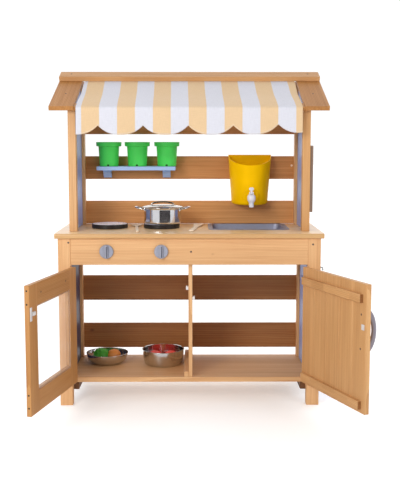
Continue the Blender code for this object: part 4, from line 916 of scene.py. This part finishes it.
def cloth_point(x, row, half_width, points, lengths):
    """Where one point of the cloth lies, as (x, y, z), its distance along the cloth and from its hem."""
    slope_length = lengths[-1]
    if row <= SLOPE_ROWS:
        share = row / SLOPE_ROWS
        distance = slope_length * share
        spot = along_line(points, lengths, slope_length * row / SLOPE_ROWS)
        pucker = PUCKER * math.sin(11 * x / half_width + 1.0) * math.sin(math.pi * share) ** 2
        return (x, spot.x, spot.y + pucker), distance, VALANCE_DROP
    share = (row - SLOPE_ROWS) / VALANCE_ROWS
    drop = scallop_drop(x)
    wave = VALANCE_WAVE * share * math.cos(2 * math.pi * (x - SCALLOP_SHIFT) / SCALLOP_PITCH)
    lean = VALANCE_LEAN + VALANCE_WAVE * share - wave
    fold = points[-1]
    return (x, fold.x - lean, fold.y - share * drop), slope_length + share * drop, drop * (1 - share)


def make_canopy():
    """One cloth from under the ridge down the slope, over the front rail and down as a scalloped valance."""
    low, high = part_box("canopy")
    half_width = (high[0] - low[0]) / 2
    middle = (high[0] + low[0]) / 2
    points, lengths = slope_line()
    rows = SLOPE_ROWS + VALANCE_ROWS
    bm = bmesh.new()
    bmesh.ops.create_grid(bm, x_segments=CANOPY_COLUMNS, y_segments=rows, size=1)
    layers = [bm.loops.layers.uv.new(name) for name in ("cloth", "hem")]
    cloth_places = {}
    for vert in bm.verts:
        x = half_width * vert.co.x
        row = round((1 - vert.co.y) / 2 * rows)
        (_, y, z), distance, from_hem = cloth_point(x, row, half_width, points, lengths)
        vert.co = (middle + x, y, z)
        across = x + half_width - STRIPE_DRIFT * min(row / SLOPE_ROWS, 1)
        cloth_places[vert] = ((across, -distance), (across, from_hem))
    for face in bm.faces:
        for loop in face.loops:
            for layer, place in zip(layers, cloth_places[loop.vert]):
                loop[layer].uv = place
    bmesh.ops.recalc_face_normals(bm, faces=bm.faces)
    canopy = new_piece("canopy_cloth", bm, canvas_material(), "frame", ["canopy"], sharp=80)
    cloth = canopy.modifiers.new("cloth", "SOLIDIFY")
    cloth.thickness = CLOTH_THICKNESS
    cloth.offset = 0.0
    cloth.use_even_offset = True


# Steel vessels

PAN_RADIUS = 0.0705
PAN_HEIGHT = 0.062
PAN_WALL = 0.002
PAN_LIP = 0.005
PAN_HANDLE_REACH = 0.0317
PAN_HANDLE_WIDTH = 0.052
PAN_HANDLE_DROP = 0.008
PAN_HANDLE_FLARE = 0.008
HANDLE_ROD = 0.003
LID_HANDLE_WIDTH = 0.084
LID_HANDLE_RISE = 0.0125
LID_RISE = 0.010
BOWL_WALL = 0.0018
BOWL_STEPS = 20
BOWLS = {
    "bowl_left": {"rim": 0.079, "foot": 0.046, "height": 0.040},
    "bowl_right": {"rim": 0.079, "foot": 0.066, "height": 0.058},
}


def arch(width, rise, squareness=0.7, steps=32):
    """Points of a bow over its width, as (along, up)."""
    turns = [math.pi * step / steps for step in range(steps + 1)]
    return [(-width / 2 * math.cos(turn), rise * max(math.sin(turn), 0) ** squareness) for turn in turns]


def make_cooking_pot():
    centre = base_of("cooking_pot")
    inner, rim = PAN_RADIUS - PAN_WALL, PAN_RADIUS + PAN_LIP
    profile = [
        (0, 0.0006), (0.030, 0.0006), (0.031, 0), (PAN_RADIUS - 0.006, 0), (PAN_RADIUS, 0.006),
        (PAN_RADIUS, PAN_HEIGHT - 0.005), (rim, PAN_HEIGHT - 0.001), (rim, PAN_HEIGHT),
        (inner, PAN_HEIGHT - 0.001), (inner, 0.008), (inner - 0.006, PAN_WALL), (0, PAN_WALL),
    ]
    bm = turned(profile, radius=0.002)
    root = math.sqrt((PAN_RADIUS - PAN_WALL * 0.4) ** 2 - (PAN_HANDLE_WIDTH / 2) ** 2)
    reach = PAN_RADIUS + PAN_HANDLE_REACH - root
    height = PAN_HEIGHT - PAN_HANDLE_DROP
    for side in (-1, 1):
        bow = arch(PAN_HANDLE_WIDTH, reach)
        path = [(side * (root + out), along, height + PAN_HANDLE_FLARE * out / reach) for along, out in bow]
        join(bm, rod(path, HANDLE_ROD))
        for end in (-1, 1):
            lug = end * PAN_HANDLE_WIDTH / 2
            out = math.sqrt(PAN_RADIUS**2 - lug**2)
            low = (side * out - 0.0015, lug - 0.006, height - 0.006)
            high = (side * out + 0.0015, lug + 0.006, height + 0.005)
            join(bm, block(low, high, 0.001))
    steel = steel_material("pot_steel", centre, (0.80, 0.80, 0.82))
    new_piece("cooking_pot_steel", bm, steel, "cooking_pot", ["cooking_pot"], move=centre)
    make_pot_lid(Vector((centre.x, centre.y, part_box("pot_lid")[0][2])), rim)


def make_pot_lid(base, rim):
    profile = [
        (0, LID_RISE - 0.002), (rim * 0.55, LID_RISE * 0.78 - 0.002), (rim * 0.88, 0.0012), (rim - 0.002, 0),
        (rim + 0.001, 0), (rim + 0.001, 0.0012), (rim * 0.90, 0.0034), (rim * 0.55, LID_RISE * 0.78),
        (rim * 0.25, LID_RISE * 0.96), (0, LID_RISE),
    ]
    bm = turned(profile, radius=0.006)
    lift = LID_RISE * 0.78 - 0.001
    bow = [(along, 0, lift + up) for along, up in arch(LID_HANDLE_WIDTH, LID_HANDLE_RISE)]
    join(bm, rod(bow, HANDLE_ROD))
    for end in (-1, 1):
        foot = turned([(0, -0.001), (0.0075, -0.001), (0.0075, 0.001), (0, 0.0016)], 32, 0.0006)
        join(bm, moved_to(foot, Vector((end * LID_HANDLE_WIDTH / 2, 0, lift))))
    steel = steel_material("lid_steel", base, (0.56, 0.53, 0.49), (0.08, 0.2))
    new_piece("pot_lid_steel", bm, steel, "pot_lid", ["pot_lid"], move=base)


def bowl_curve(rim, foot, height):
    """A bowl's outer and inner curve with its rolled rim."""
    outer, inner = [], []
    for step in range(BOWL_STEPS + 1):
        angle = math.pi / 2 * step / BOWL_STEPS
        swell = foot + (rim - foot) * math.sin(angle)
        outer.append((swell, height * (1 - math.cos(angle))))
        inner.append((swell - BOWL_WALL, BOWL_WALL + (height - BOWL_WALL) * (1 - math.cos(angle))))
    turns = [math.pi * (step / 8 - 0.5) for step in range(9)]
    roll = [
        (rim + 0.0006 + 0.0014 * math.cos(turn), height + 0.0002 + 0.0012 * math.sin(turn)) for turn in turns
    ]
    foot_ring = [(0, 0.0008), (foot * 0.7, 0.0008), (foot * 0.74, 0)]
    return foot_ring + outer + roll + list(reversed(inner)) + [(0, BOWL_WALL)]


def make_bowls():
    for name, size in BOWLS.items():
        centre = base_of(name)
        steel = steel_material(name + "_steel_finish", centre, rough=(0.09, 0.22))
        new_piece(name + "_steel", turned(bowl_curve(**size)), steel, name, [name], move=centre)


# Herb pots, tank and tap

GREEN = (0.072, 0.68, 0.108)
YELLOW = (1.0, 0.575, 0.0)
HERB_POT = {"rim": 0.0493, "waist": 0.0402, "base": 0.0358, "height": 0.093, "band": 0.0755, "wall": 0.0022,
            "taper": 0.0012}
TANK = {"height": 0.192, "top_width": 0.168, "base_width": 0.140, "top_depth": 0.118, "base_depth": 0.102,
        "rim_drop": 0.038, "wall": 0.003}
TANK_FOOT = 0.008
BOSS_HEIGHT = 0.036
BOSS_RADIUS = 0.030
TAP_REACH = 0.022
LEVER_HEIGHT = 0.050


def make_herb_pots():
    green = plastic_material("green_plastic", GREEN, (0.30, 0.44), shine=0.2, deeper=0.88)
    earth_hole = plastic_material("drain_hole", (0.01, 0.012, 0.01), (0.8, 0.9))
    rim, waist, base, height, band, wall, taper = HERB_POT.values()
    profile = [
        (0, 0.001), (base - 0.010, 0.001), (base - 0.009, 0), (base, 0), (waist, band),
        (rim - taper, band + taper), (rim, height - 0.001), (rim - wall / 2, height),
        (rim - wall, height - 0.001), (rim - taper - wall, band + taper + wall), (waist - wall, band + wall),
        (base - wall, wall), (0, wall),
    ]
    hole_profile = [(0, -0.0006), (0.0042, -0.0006), (0.0046, 0), (0.0042, 0.0004), (0, 0.0004)]
    for place in ("left", "middle", "right"):
        name = f"herb_pot_{place}"
        centre = base_of(name)
        pot = turned(profile, radius=0.0012, arc_steps=3)
        new_piece(name + "_plastic", pot, green, name, [name], move=centre)
        holes = bmesh.new()
        for turn in (-90, 0, 90, 180):
            direction = Vector((math.cos(math.radians(turn)), math.sin(math.radians(turn)), 0))
            spot = centre + direction * (base + 0.0006) + Z * 0.0045
            hole = turned(hole_profile, 24)
            bmesh.ops.scale(hole, vec=(1, 0.7, 1), verts=hole.verts)
            join(holes, moved_to(hole, facing(spot, direction)))
        new_piece(name + "_drain_holes", holes, earth_hole, name)


def tank_section(width, depth, height, tilt=0.0, steps=64):
    """A flat back and a round front at one height, lower towards the front by the tilt."""
    points = []
    for step in range(steps + 1):
        angle = math.pi * step / steps
        out = max(math.sin(angle), 0) ** 0.85
        points.append((width / 2 * math.cos(angle), -depth * out, height - tilt * out))
    return points


def tank_size(share):
    width = TANK["base_width"] + (TANK["top_width"] - TANK["base_width"]) * share
    depth = TANK["base_depth"] + (TANK["top_depth"] - TANK["base_depth"]) * share
    return width, depth


def tank_body():
    """The tank's outside from its foot up to the sloping rim, and its inside down again."""
    wall, tall, drop = TANK["wall"], TANK["height"], TANK["rim_drop"]
    foot = TANK_FOOT
    rings = []
    start = [(0.0, foot), (0.012, foot * 0.45), (foot * 0.6 / tall, foot * 0.12), (foot * 1.3 / tall, 0)]
    for share, inset in start:
        width, depth = tank_size(share)
        ring = tank_section(width - 2 * inset, depth - inset, tall * share)
        rings.append([(x, y - inset * 0.25, z) for x, y, z in ring])
    for share in (0.25, 0.5, 0.75, 0.9):
        rings.append(tank_section(*tank_size(share), tall * share, drop * share**2))
    width, depth = tank_size(1.0)
    rings.append(tank_section(width, depth, tall - 0.001, drop))
    rings.append([(x, y - 0.0008, z) for x, y, z in tank_section(width - 0.0016, depth - 0.0016, tall, drop)])
    for share in (1.0, 0.9, 0.5, 0.1, wall / tall):
        width, depth = tank_size(share)
        tilt = drop * share**2 if share > 0.1 else 0
        ring = tank_section(width - 2 * wall, depth - 2 * wall, tall * share, tilt)
        rings.append([(x, y - wall, z) for x, y, z in ring])
    return lofted(rings)


def make_tank():
    """An open tank with a round front, low at the front of its rim, a boss for its tap and a hook behind."""
    slat_low, slat_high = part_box("back_slat_middle")
    low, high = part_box("water_tank")
    place = Vector(((low[0] + high[0]) / 2, slat_low[1] - GAP, low[2]))
    bm = tank_body()
    depth_there = tank_size(BOSS_HEIGHT / TANK["height"])[1]
    boss = [
        (0, -0.010), (BOSS_RADIUS, -0.010), (BOSS_RADIUS, 0.0), (BOSS_RADIUS - 0.003, 0.003),
        (0.0085, 0.003), (0.0082, -0.002), (0, -0.002),
    ]
    join(bm, moved_to(turned(boss, 64, 0.0012), facing((0, -depth_there, BOSS_HEIGHT), (0, -1, 0))))
    top = slat_high[2] + GAP - place.z
    reach = slat_high[1] - place.y + GAP
    line = [(-0.0015, top - 0.004), (-0.0015, top + 0.003), (reach + 0.003, top + 0.003),
            (reach + 0.003, top - 0.024), (reach, top - 0.024), (reach, top), (0.0, top), (0.0, top - 0.004)]
    join(bm, drawn_out([(-0.060, y, z) for y, z in line], (0.120, 0, 0), 0.0006, 2))
    yellow = plastic_material("yellow_plastic", YELLOW, (0.34, 0.48), shine=0.04, deeper=0.94)
    new_piece("water_tank_plastic", bm, yellow, "water_tank", ["water_tank"], move=place)
    make_tap(place, -(depth_there + 0.003))


def make_tap(place, face):
    """A round body with a spout, its shank's collar, two ears and a flat lever."""
    white = plastic_material("white_plastic", (0.76, 0.76, 0.84), (0.16, 0.28), shine=0.5, deeper=0.95)
    front = face - TAP_REACH
    bottom, top, wide = -0.005, 0.043, 0.0165
    profile = [
        (0, bottom + 0.016), (0.006, bottom + 0.016), (0.006, bottom), (0.009, bottom),
        (0.0095, bottom + 0.018), (wide * 0.9, bottom + 0.026), (wide, bottom + 0.034),
        (wide * 0.9, top - 0.005), (wide * 0.7, top), (0, top),
    ]
    bm = turned(profile, 64, 0.003)
    shank = turned([(0, 0), (0.0075, 0), (0.0075, TAP_REACH), (0, TAP_REACH)], 48, 0.0005)
    collar = turned([(0.0070, 0), (0.012, 0), (0.012, 0.003), (0.0070, 0.003)], 48, 0.0008)
    for shape, start in ((shank, front), (collar, face - 0.0033)):
        join(bm, moved_to(shape, facing((0, start - front, BOSS_HEIGHT), (0, 1, 0))))
    for left in (-0.0083, 0.0043):
        join(bm, block((left, -0.005, top - 0.004), (left + 0.004, 0.005, 0.054), 0.0012, 3))
    axis = place + Y * front
    new_piece("tap_body_plastic", bm, white, "water_tank", ["tap_body"], move=axis)
    foot, paddle, neck, tall = 0.004, 0.009, 0.0085, 0.021
    half = [(foot, -0.004), (foot, neck - 0.001), (paddle, neck + 0.003), (paddle, tall - 0.004),
            (paddle - 0.004, tall)]
    outline = half + [(-x, z) for x, z in reversed(half)]
    lever = drawn_out([(x, -0.003, z) for x, z in outline], (0, 0.006, 0), 0.0012, 3)
    axle = axis + Z * LEVER_HEIGHT
    new_piece("tap_lever_plastic", lever, white, "tap_lever", ["tap_lever"], move=axle)


# Knobs, hobs and sink

HOB_PLATE_EDGE = 0.0035
SINK_FLANGE = 0.016
SINK_WALL = 0.0016
SINK_CORNER = 0.026
SINK_TAPER = 0.012
SINK_FOOT = 0.008


def make_knobs():
    grey = plastic_material("knob_plastic", (0.335, 0.35, 0.43), (0.34, 0.48), 0.0001)
    dark = plastic_material("pointer_plastic", (0.035, 0.04, 0.06), (0.45, 0.6), 0.0001)
    for place in ("left", "right"):
        name = f"knob_{place}"
        low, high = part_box(name)
        centre = Vector(((low[0] + high[0]) / 2, high[1], (low[2] + high[2]) / 2))
        radius = (high[0] - low[0]) / 2
        profile = [
            (0, 0), (radius - 0.001, 0), (radius, 0.001),
            (radius, 0.007), (radius - 0.003, 0.010), (0, 0.010),
        ]
        bm = turned(profile, radius=0.0012)
        join(bm, block((-0.005, -(radius - 0.002), 0.004), (0.005, radius - 0.002, 0.022), 0.0022, 4))
        move = Matrix.Translation(centre) @ Matrix.Rotation(math.pi / 2, 4, "X")
        new_piece(name + "_plastic", bm, grey, name, [name], move=move)
        pointer = block((-0.0002, -(radius - 0.005), 0.0205), (0.0028, radius - 0.005, 0.0222), 0.0003, 2)
        new_piece(name + "_pointer", pointer, dark, name, move=move)


def make_hobs():
    """Each hob is a black disc with a plate let into its top and two grooves round it.

    The plate's pale lilac colour is a painted reflection of polished metal.
    """
    black = plastic_material("hob_plastic", (0.022, 0.018, 0.018), (0.30, 0.45), 0.0001)
    plate_painted_reflection = dark_metal_material("hob_plate_painted_reflection", (0.93, 0.90, 0.98), (0.24, 0.36), 0.1)
    for place in ("left", "right"):
        name = f"hob_{place}"
        low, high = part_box(name)
        radius, tall = (high[0] - low[0]) / 2, high[2] - low[2]
        plate = radius - HOB_PLATE_EDGE
        disc = [
            (0, 0), (radius - 0.002, 0), (radius, 0.002), (radius, tall - 0.0015), (radius - 0.0015, tall),
            (plate + 0.0004, tall), (plate + 0.0004, tall - 0.002), (0, tall - 0.002),
        ]
        disc_piece = turned(disc, radius=0.0008, arc_steps=3)
        new_piece(name + "_disc", disc_piece, black, "frame", [name], move=base_of(name))
        top = [(0, tall - 0.0022), (plate, tall - 0.0022), (plate, tall)]
        for ring in (radius * 0.82, radius * 0.48):
            top += [(ring + 0.0014, tall), (ring, tall - 0.0012), (ring - 0.0014, tall)]
        top.append((0, tall))
        plate_piece = turned(top, radius=0.0005, arc_steps=3)
        new_piece(name + "_plate", plate_piece, plate_painted_reflection, "frame", move=base_of(name))


def rounded_rectangle(width, depth, corner, height, steps=10):
    points = []
    for quarter, (x, y) in enumerate(((1, 1), (-1, 1), (-1, -1), (1, -1))):
        for step in range(steps + 1):
            angle = math.pi / 2 * (quarter + step / steps)
            points.append((x * (width / 2 - corner) + corner * math.cos(angle),
                           y * (depth / 2 - corner) + corner * math.sin(angle), height))
    return points


def make_sink():
    """A pressed steel basin with a thin flange, a soft floor and a strainer."""
    low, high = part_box("sink_basin")
    centre = Vector(((low[0] + high[0]) / 2, (low[1] + high[1]) / 2, worktop_high.z + GAP))
    wide, deep = high[0] - low[0], high[1] - low[1]
    inner_wide, inner_deep = wide - 2 * SINK_FLANGE, deep - 2 * SINK_FLANGE
    wall, corner, foot = SINK_WALL, SINK_CORNER, SINK_FOOT
    floor = low[2] - centre.z
    outside = [
        (SINK_TAPER + foot, corner - foot, floor),
        (SINK_TAPER + foot * 0.3, corner - foot * 0.3, floor + foot * 0.3),
        (SINK_TAPER, corner, floor + foot), (0, corner, 0.0),
    ]
    rings = []
    for inset, bend, z in outside:
        rings.append(rounded_rectangle(inner_wide - 2 * inset, inner_deep - 2 * inset, bend, z))
    for narrower, height in ((0, 0.0), (0, wall * 0.6), (0.001, wall)):
        rings.append(rounded_rectangle(wide - narrower, deep - narrower, corner + SINK_FLANGE / 2, height))
    rings.append(rounded_rectangle(inner_wide, inner_deep, corner, wall))
    for inset, bend, z in reversed(outside):
        rings.append(rounded_rectangle(inner_wide - 2 * inset - 2 * wall, inner_deep - 2 * inset - 2 * wall,
                                       max(bend - wall, 0.004), z + (wall if z < 0 else wall * 0.3)))
    bm = lofted(rings)
    strainer = [(0, 0.0004), (0.012, 0.0004), (0.016, 0.0016), (0.021, 0.0016), (0.022, 0.0), (0, 0.0)]
    join(bm, moved_to(turned(strainer, 64, 0.0006), Vector((0, 0, floor + wall + 0.0001))))
    steel = steel_material("sink_steel", centre, (0.42, 0.43, 0.53), (0.50, 0.68), 500.0)
    new_piece("sink_basin_steel", bm, steel, "sink_basin", ["sink_basin"], move=centre)


# Door fittings

HANDLE_LENGTH = 0.147
HANDLE_REACH = 0.038
HANDLE_GRIP = 0.014
HANDLE_WIDTH = 0.014
HANDLE_GAP_LENGTH = 0.092
HANDLE_EDGE_DISTANCE = 0.030
HANDLE_HEIGHT = 0.355
HANDLE_STEPS = 40
HANDLE_SIDES = 24
SQUARED = 0.6


def make_door_handle():
    """The bow handle: a rounded crescent whose two feet stand flat on the planks."""
    grey = plastic_material("handle_plastic", (0.29, 0.265, 0.31), (0.36, 0.5), 0.0001)
    rings = []
    for step in range(HANDLE_STEPS + 1):
        angle = math.pi * step / HANDLE_STEPS
        up, out = -math.cos(angle), math.sin(angle)
        outer = Vector((0, -HANDLE_REACH * out, HANDLE_LENGTH / 2 * up))
        inner = Vector((0, -(HANDLE_REACH - HANDLE_GRIP) * out, HANDLE_GAP_LENGTH / 2 * up))
        middle, half = (outer + inner) / 2, (outer - inner) / 2
        ring = []
        for side in range(HANDLE_SIDES):
            turn = 2 * math.pi * side / HANDLE_SIDES
            across = rounded_power(math.sin(turn), SQUARED) * HANDLE_WIDTH / 2
            ring.append(middle + half * rounded_power(math.cos(turn), SQUARED) + X * across)
        rings.append(ring)
    place = Vector((HANDLE_EDGE_DISTANCE - DOOR_FREE_EDGE, DOOR_OUTER_FACE - GAP, HANDLE_HEIGHT))
    move = right_door_place @ Matrix.Translation(place)
    new_piece("bow_handle", lofted(rings), grey, "right_door", ["right_door_handle"], move=move)


def make_catches():
    """White magnetic catches: a plate on each leaf, and a small case on each side of the divider."""
    white = plastic_material("catch_plastic", (0.72, 0.70, 0.70), (0.3, 0.45), 0.0001)
    face = DOOR_INNER_FACE
    bm = block((0.4040, face, 0.396), (0.4175, face + 0.0025, 0.440), 0.0006)
    join(bm, block((0.3840, face, 0.412), (0.4020, face + 0.0070, 0.424), 0.0008))
    new_piece("left_door_catch", bm, white, "left_door", move=left_door_place)
    bm = block((-0.4125, face, 0.362), (-0.3970, face + 0.0025, 0.380), 0.0006)
    new_piece("right_door_catch", bm, white, "right_door", move=right_door_place)
    low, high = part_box("divider")
    front = low[1] + 0.002
    bm = block((low[0] - 0.009, front, 0.4225), (low[0], front + 0.022, 0.4345), 0.0012)
    join(bm, block((high[0], front, 0.3855), (high[0] + 0.009, front + 0.022, 0.3975), 0.0012))
    new_piece("divider_catches", bm, white, "frame")


# Screws and small fittings

SCREW_RADIUS = 0.0036
ROOF_SCREW_X = (-0.4997, 0.4123)
ROOF_SCREW_Y = (0.361, 0.1935)
APRON_SCREWS = [
    ("front_leg_left", -0.4757, 0.597), ("front_leg_right", 0.398, 0.590), ("apron", -0.0382, 0.564),
]
LEAF_SCREWS = [(0.104, 0.477), (0.325, 0.476)]
HANDLE_SCREWS = [(-0.392, 0.410), (-0.390, 0.298)]
EDGE_SCREW_HEIGHTS = (0.494, 0.451, 0.159, 0.117)
SLAT_END = 0.016
HOOK_PLACE = (0.0385, 0.505)
HOOK_LINE = [(-0.001, 0), (0.005, 0), (0.0095, -0.0015), (0.0105, -0.006), (0.0105, -0.0115)]
PLUG_PLACE = (0.3575, 0.1, 0.860)
CHALK_INSET = 0.014


def screw_head(radius):
    """A low domed head, standing on Z = 0."""
    rise = radius * 0.22
    profile = [(0, -rise), (radius, -rise), (radius, rise * 0.3), (radius * 0.75, rise * 0.85), (0, rise)]
    bm = turned(profile, 24)
    bmesh.ops.poke(bm, faces=[face for face in bm.faces if len(face.verts) > 4])
    return bm


def screw_cross(radius):
    """The dark cross that a driver fits, just proud of the head."""
    rise = radius * 0.24
    bars = []
    for wide, deep in ((0.55, 0.11), (0.11, 0.55)):
        low = (-radius * wide, -radius * deep, rise * 0.6)
        bars.append(block(low, (radius * wide, radius * deep, rise), radius * 0.02, 1))
    return join(*bars)


def add_screws(name, places, radius, body, head, cross):
    """One piece of screw heads and one of their crosses. Each place is (point, normal)."""
    heads, crosses = bmesh.new(), bmesh.new()
    for number, (point, normal) in enumerate(places):
        put = facing(point, normal) @ Matrix.Rotation(0.7 * number, 4, "Z")
        join(heads, moved_to(screw_head(radius), put))
        join(crosses, moved_to(screw_cross(radius), put))
    new_piece(f"{name}_heads", heads, head, body)
    new_piece(f"{name}_crosses", crosses, cross, body)


def add_all_screws():
    zinc = dark_metal_material("screw_zinc", (0.15, 0.10, 0.075), (0.4, 0.6), 0.35)
    slot = dark_metal_material("screw_slot", (0.04, 0.03, 0.025), (0.6, 0.8), 0.2)
    black = dark_metal_material("black_screw", (0.02, 0.02, 0.02))
    places = []
    for x, board in zip(ROOF_SCREW_X, ("roof_board_left", "roof_board_right")):
        for name, y in zip(("ridge_board", board), ROOF_SCREW_Y):
            places.append(on_surface(name, Vector((x, y, 1.4)), -Z))
    places += [on_surface(name, Vector((x, -0.3, z)), Y) for name, x, z in APRON_SCREWS]
    for name in list(CROSS_BOARDS)[1:]:
        low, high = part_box(name)
        for x in (low[0] + SLAT_END, high[0] - SLAT_END):
            for share in (0.27, 0.73):
                places.append(on_surface(name, Vector((x, 0.7, low[2] + (high[2] - low[2]) * share)), -Y))
    add_screws("frame_screws", places, SCREW_RADIUS, "frame", zinc, slot)
    leaves = (("left_door", left_door_place, LEAF_SCREWS), ("right_door", right_door_place, HANDLE_SCREWS))
    for body, leaf, spots in leaves:
        inwards = leaf.to_3x3() @ Y
        places = [(leaf @ Vector((x, DOOR_INNER_FACE, z)), inwards) for x, z in spots]
        add_screws(f"{body}_screws", places, SCREW_RADIUS, body, zinc, slot)
    middle = (DOOR_INNER_FACE + DOOR_OUTER_FACE) / 2
    outwards = left_door_place.to_3x3() @ X
    places = [(left_door_place @ Vector((DOOR_FREE_EDGE, middle, z)), outwards) for z in EDGE_SCREW_HEIGHTS]
    add_screws("leaf_edge_screws", places, SCREW_RADIUS * 0.8, "left_door", black, slot)


def make_small_fittings():
    """A hook on the right leg, a wooden plug in the middle slat and the chalk face of the side board."""
    black = dark_metal_material("hook_metal", (0.02, 0.02, 0.022))
    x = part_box("front_leg_right")[1][0]
    y, z = HOOK_PLACE
    bm = rod([(x + out, y, z + up) for out, up in HOOK_LINE], 0.0016, 12)
    plate = turned([(0, -0.0005), (0.0055, -0.0005), (0.0055, 0.001), (0, 0.0014)], 32, 0.0005)
    join(bm, moved_to(plate, facing((x, y, z), X)))
    new_piece("leg_hook", bm, black, "frame")
    pale = wood_material("plug_beech", BEECH, "Z", "Y", 71, knots=0.0)
    plug = turned([(0, -0.0005), (0.0042, -0.0005), (0.0042, 0.0012), (0, 0.0018)], 32, 0.0008)
    place, normal = on_surface("back_slat_middle", Vector(PLUG_PLACE), Y)
    new_piece("slat_plug", plug, pale, "frame", move=facing(place, normal))
    low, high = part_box("side_chalkboard")
    inset = CHALK_INSET
    face = block((high[0] - 0.0002, low[1] + inset, low[2] + inset),
                 (high[0] + 0.0008, high[1] - inset, high[2] - inset), 0.0003)
    new_piece("chalk_face", face, chalkboard_material(), "frame")


# Play food

FOOD_SHAPES = {
    "green": {"radius": 0.030, "lumps": 9.0, "depth": 0.13, "seed": 0.6, "squash": 0.85},
    "orange": {"radius": 0.026, "lumps": 4.0, "depth": 0.02, "seed": 1.3, "squash": 0.95},
    "slice": {"radius": 0.025, "lumps": 3.0, "depth": 0.02, "seed": 2.1, "squash": 0.85},
}
RED_FRUITS = [(-0.029, 0.008, 0.0285), (0.029, 0.008, 0.0285), (0.0, 0.043, 0.017)]


def lumpy_ball(radius, lumps, depth, seed, squash):
    """A ball whose points are pushed out into soft lumps."""
    bm = bmesh.new()
    bmesh.ops.create_icosphere(bm, subdivisions=4, radius=radius)
    for vert in bm.verts:
        x, y, z = vert.co / radius
        swell = math.sin(lumps * x + seed) * math.sin(lumps * y + 2 * seed) * math.sin(lumps * z + 3 * seed)
        vert.co *= 1 + depth * swell
    bmesh.ops.scale(bm, vec=(1, 1, squash), verts=bm.verts)
    return bm


def add_food(name, shape, material, bowl, place):
    new_piece(name, lumpy_ball(**shape), material, bowl, move=base_of(bowl) + Vector(place))


def make_play_food():
    leaf = plastic_material("leaf_green", (0.06, 0.34, 0.03), (0.35, 0.55), 0.0004)
    orange = plastic_material("orange_rind", (0.72, 0.26, 0.06), (0.35, 0.5), 0.0005)
    red = plastic_material("red_fruit", (0.86, 0.045, 0.03), (0.25, 0.4), 0.0003)
    add_food("play_green_vegetable", FOOD_SHAPES["green"], leaf, "bowl_left", (-0.024, 0.004, 0.030))
    add_food("play_orange_fruit", FOOD_SHAPES["orange"], orange, "bowl_left", (0.026, 0.006, 0.0275))
    for number, (x, y, size) in enumerate(RED_FRUITS):
        shape = {"radius": size, "lumps": 3.5, "depth": 0.03, "seed": 0.5 + number, "squash": 0.8}
        add_food(f"play_red_fruit_{number + 1}", shape, red, "bowl_right", (x, y, size * 0.8 + 0.003))
    add_food("play_orange_slice", FOOD_SHAPES["slice"], orange, "bowl_right", (0.0, -0.034, 0.0245))


# Utensils

SPOON_PLACE = ((-0.2322, 0.0605), 4.0)
SPATULA_PLACE = ((-0.0377, 0.0825), -7.0)
SPOON_HEAD_START = 0.2078
SPOON_LENGTH = 0.275
SPOON_HEAD_WIDTH = 0.048
UTENSIL_SIDES = 28
UTENSIL_SQUARED = 0.7
SPOON_HANDLE = [
    (0, 0.003, 0.0020, 0.003, 0), (0.003, 0.0055, 0.0030, 0.003, 0), (0.10, 0.0058, 0.0030, 0.003, 0),
    (0.19, 0.0056, 0.0028, 0.003, 0), (0.205, 0.0060, 0.0024, 0.003, 0.0002),
]
SPATULA = [
    (0, 0.006, 0.0022, 0.003, 0), (0.004, 0.0095, 0.0030, 0.003, 0), (0.155, 0.0090, 0.0030, 0.003, 0),
    (0.170, 0.0115, 0.0024, 0.0034, 0), (0.185, 0.0152, 0.0016, 0.0044, 0),
    (0.242, 0.0188, 0.0014, 0.0046, 0), (0.248, 0.0175, 0.0013, 0.0046, 0),
    (0.250, 0.0150, 0.0010, 0.0046, 0),
]


def carved(stations):
    """A carved piece along Y, from (y, half width, half thickness, height of its middle, dish) stations."""
    rings = []
    for y, half_width, half_thickness, height, dish in stations:
        ring = []
        for side in range(UTENSIL_SIDES):
            turn = 2 * math.pi * side / UTENSIL_SIDES
            across = rounded_power(math.cos(turn), UTENSIL_SQUARED)
            up = rounded_power(math.sin(turn), UTENSIL_SQUARED)
            ring.append((half_width * across, y, height + half_thickness * up + dish * across**2))
        rings.append(ring)
    return lofted(rings)


def spoon_stations():
    """The spoon's handle, and its dished head from where it is wider than the handle."""
    head = []
    for step in range(1, 20):
        angle = math.pi * step / 20
        y = SPOON_HEAD_START + (SPOON_LENGTH - SPOON_HEAD_START) * (1 - math.cos(angle)) / 2
        half_width = SPOON_HEAD_WIDTH / 2 * max(math.sin(angle), 0.02) ** 0.9
        share = math.sin(angle)
        if half_width > 0.0062 or step > 10:
            head.append((y, half_width, 0.0024 - 0.0012 * share, 0.003 - 0.0016 * share, 0.0036 * share))
    return SPOON_HANDLE + head


def make_utensils():
    """A spoon with a dished head and a flat spatula, both on the worktop with their handles to the front."""
    utensils = (("spoon", spoon_stations(), SPOON_PLACE, 61), ("spatula", SPATULA, SPATULA_PLACE, 63))
    for name, stations, ((x, y), degrees), seed in utensils:
        place = (x, y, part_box(name)[0][2])
        turn = math.radians(degrees)
        beech = wood_material(name + "_beech", BEECH, "Y", "Z", seed, (0, 0, -turn), place, varnish=0.0)
        move = Matrix.Translation(place) @ Matrix.Rotation(turn, 4, "Z")
        new_piece(name + "_wood", carved(stations), beech, name, [name], move=move)


add_camera()
add_world()
add_cards()
add_lights()
add_floor()
make_wood_grain_group()
make_polish_group()
make_moulded_group()
make_weave_group()
dress_boards()
dress_doors()
make_canopy()
make_cooking_pot()
make_bowls()
make_herb_pots()
make_tank()
make_knobs()
make_hobs()
make_sink()
make_door_handle()
make_catches()
add_all_screws()
make_small_fittings()
make_play_food()
make_utensils()
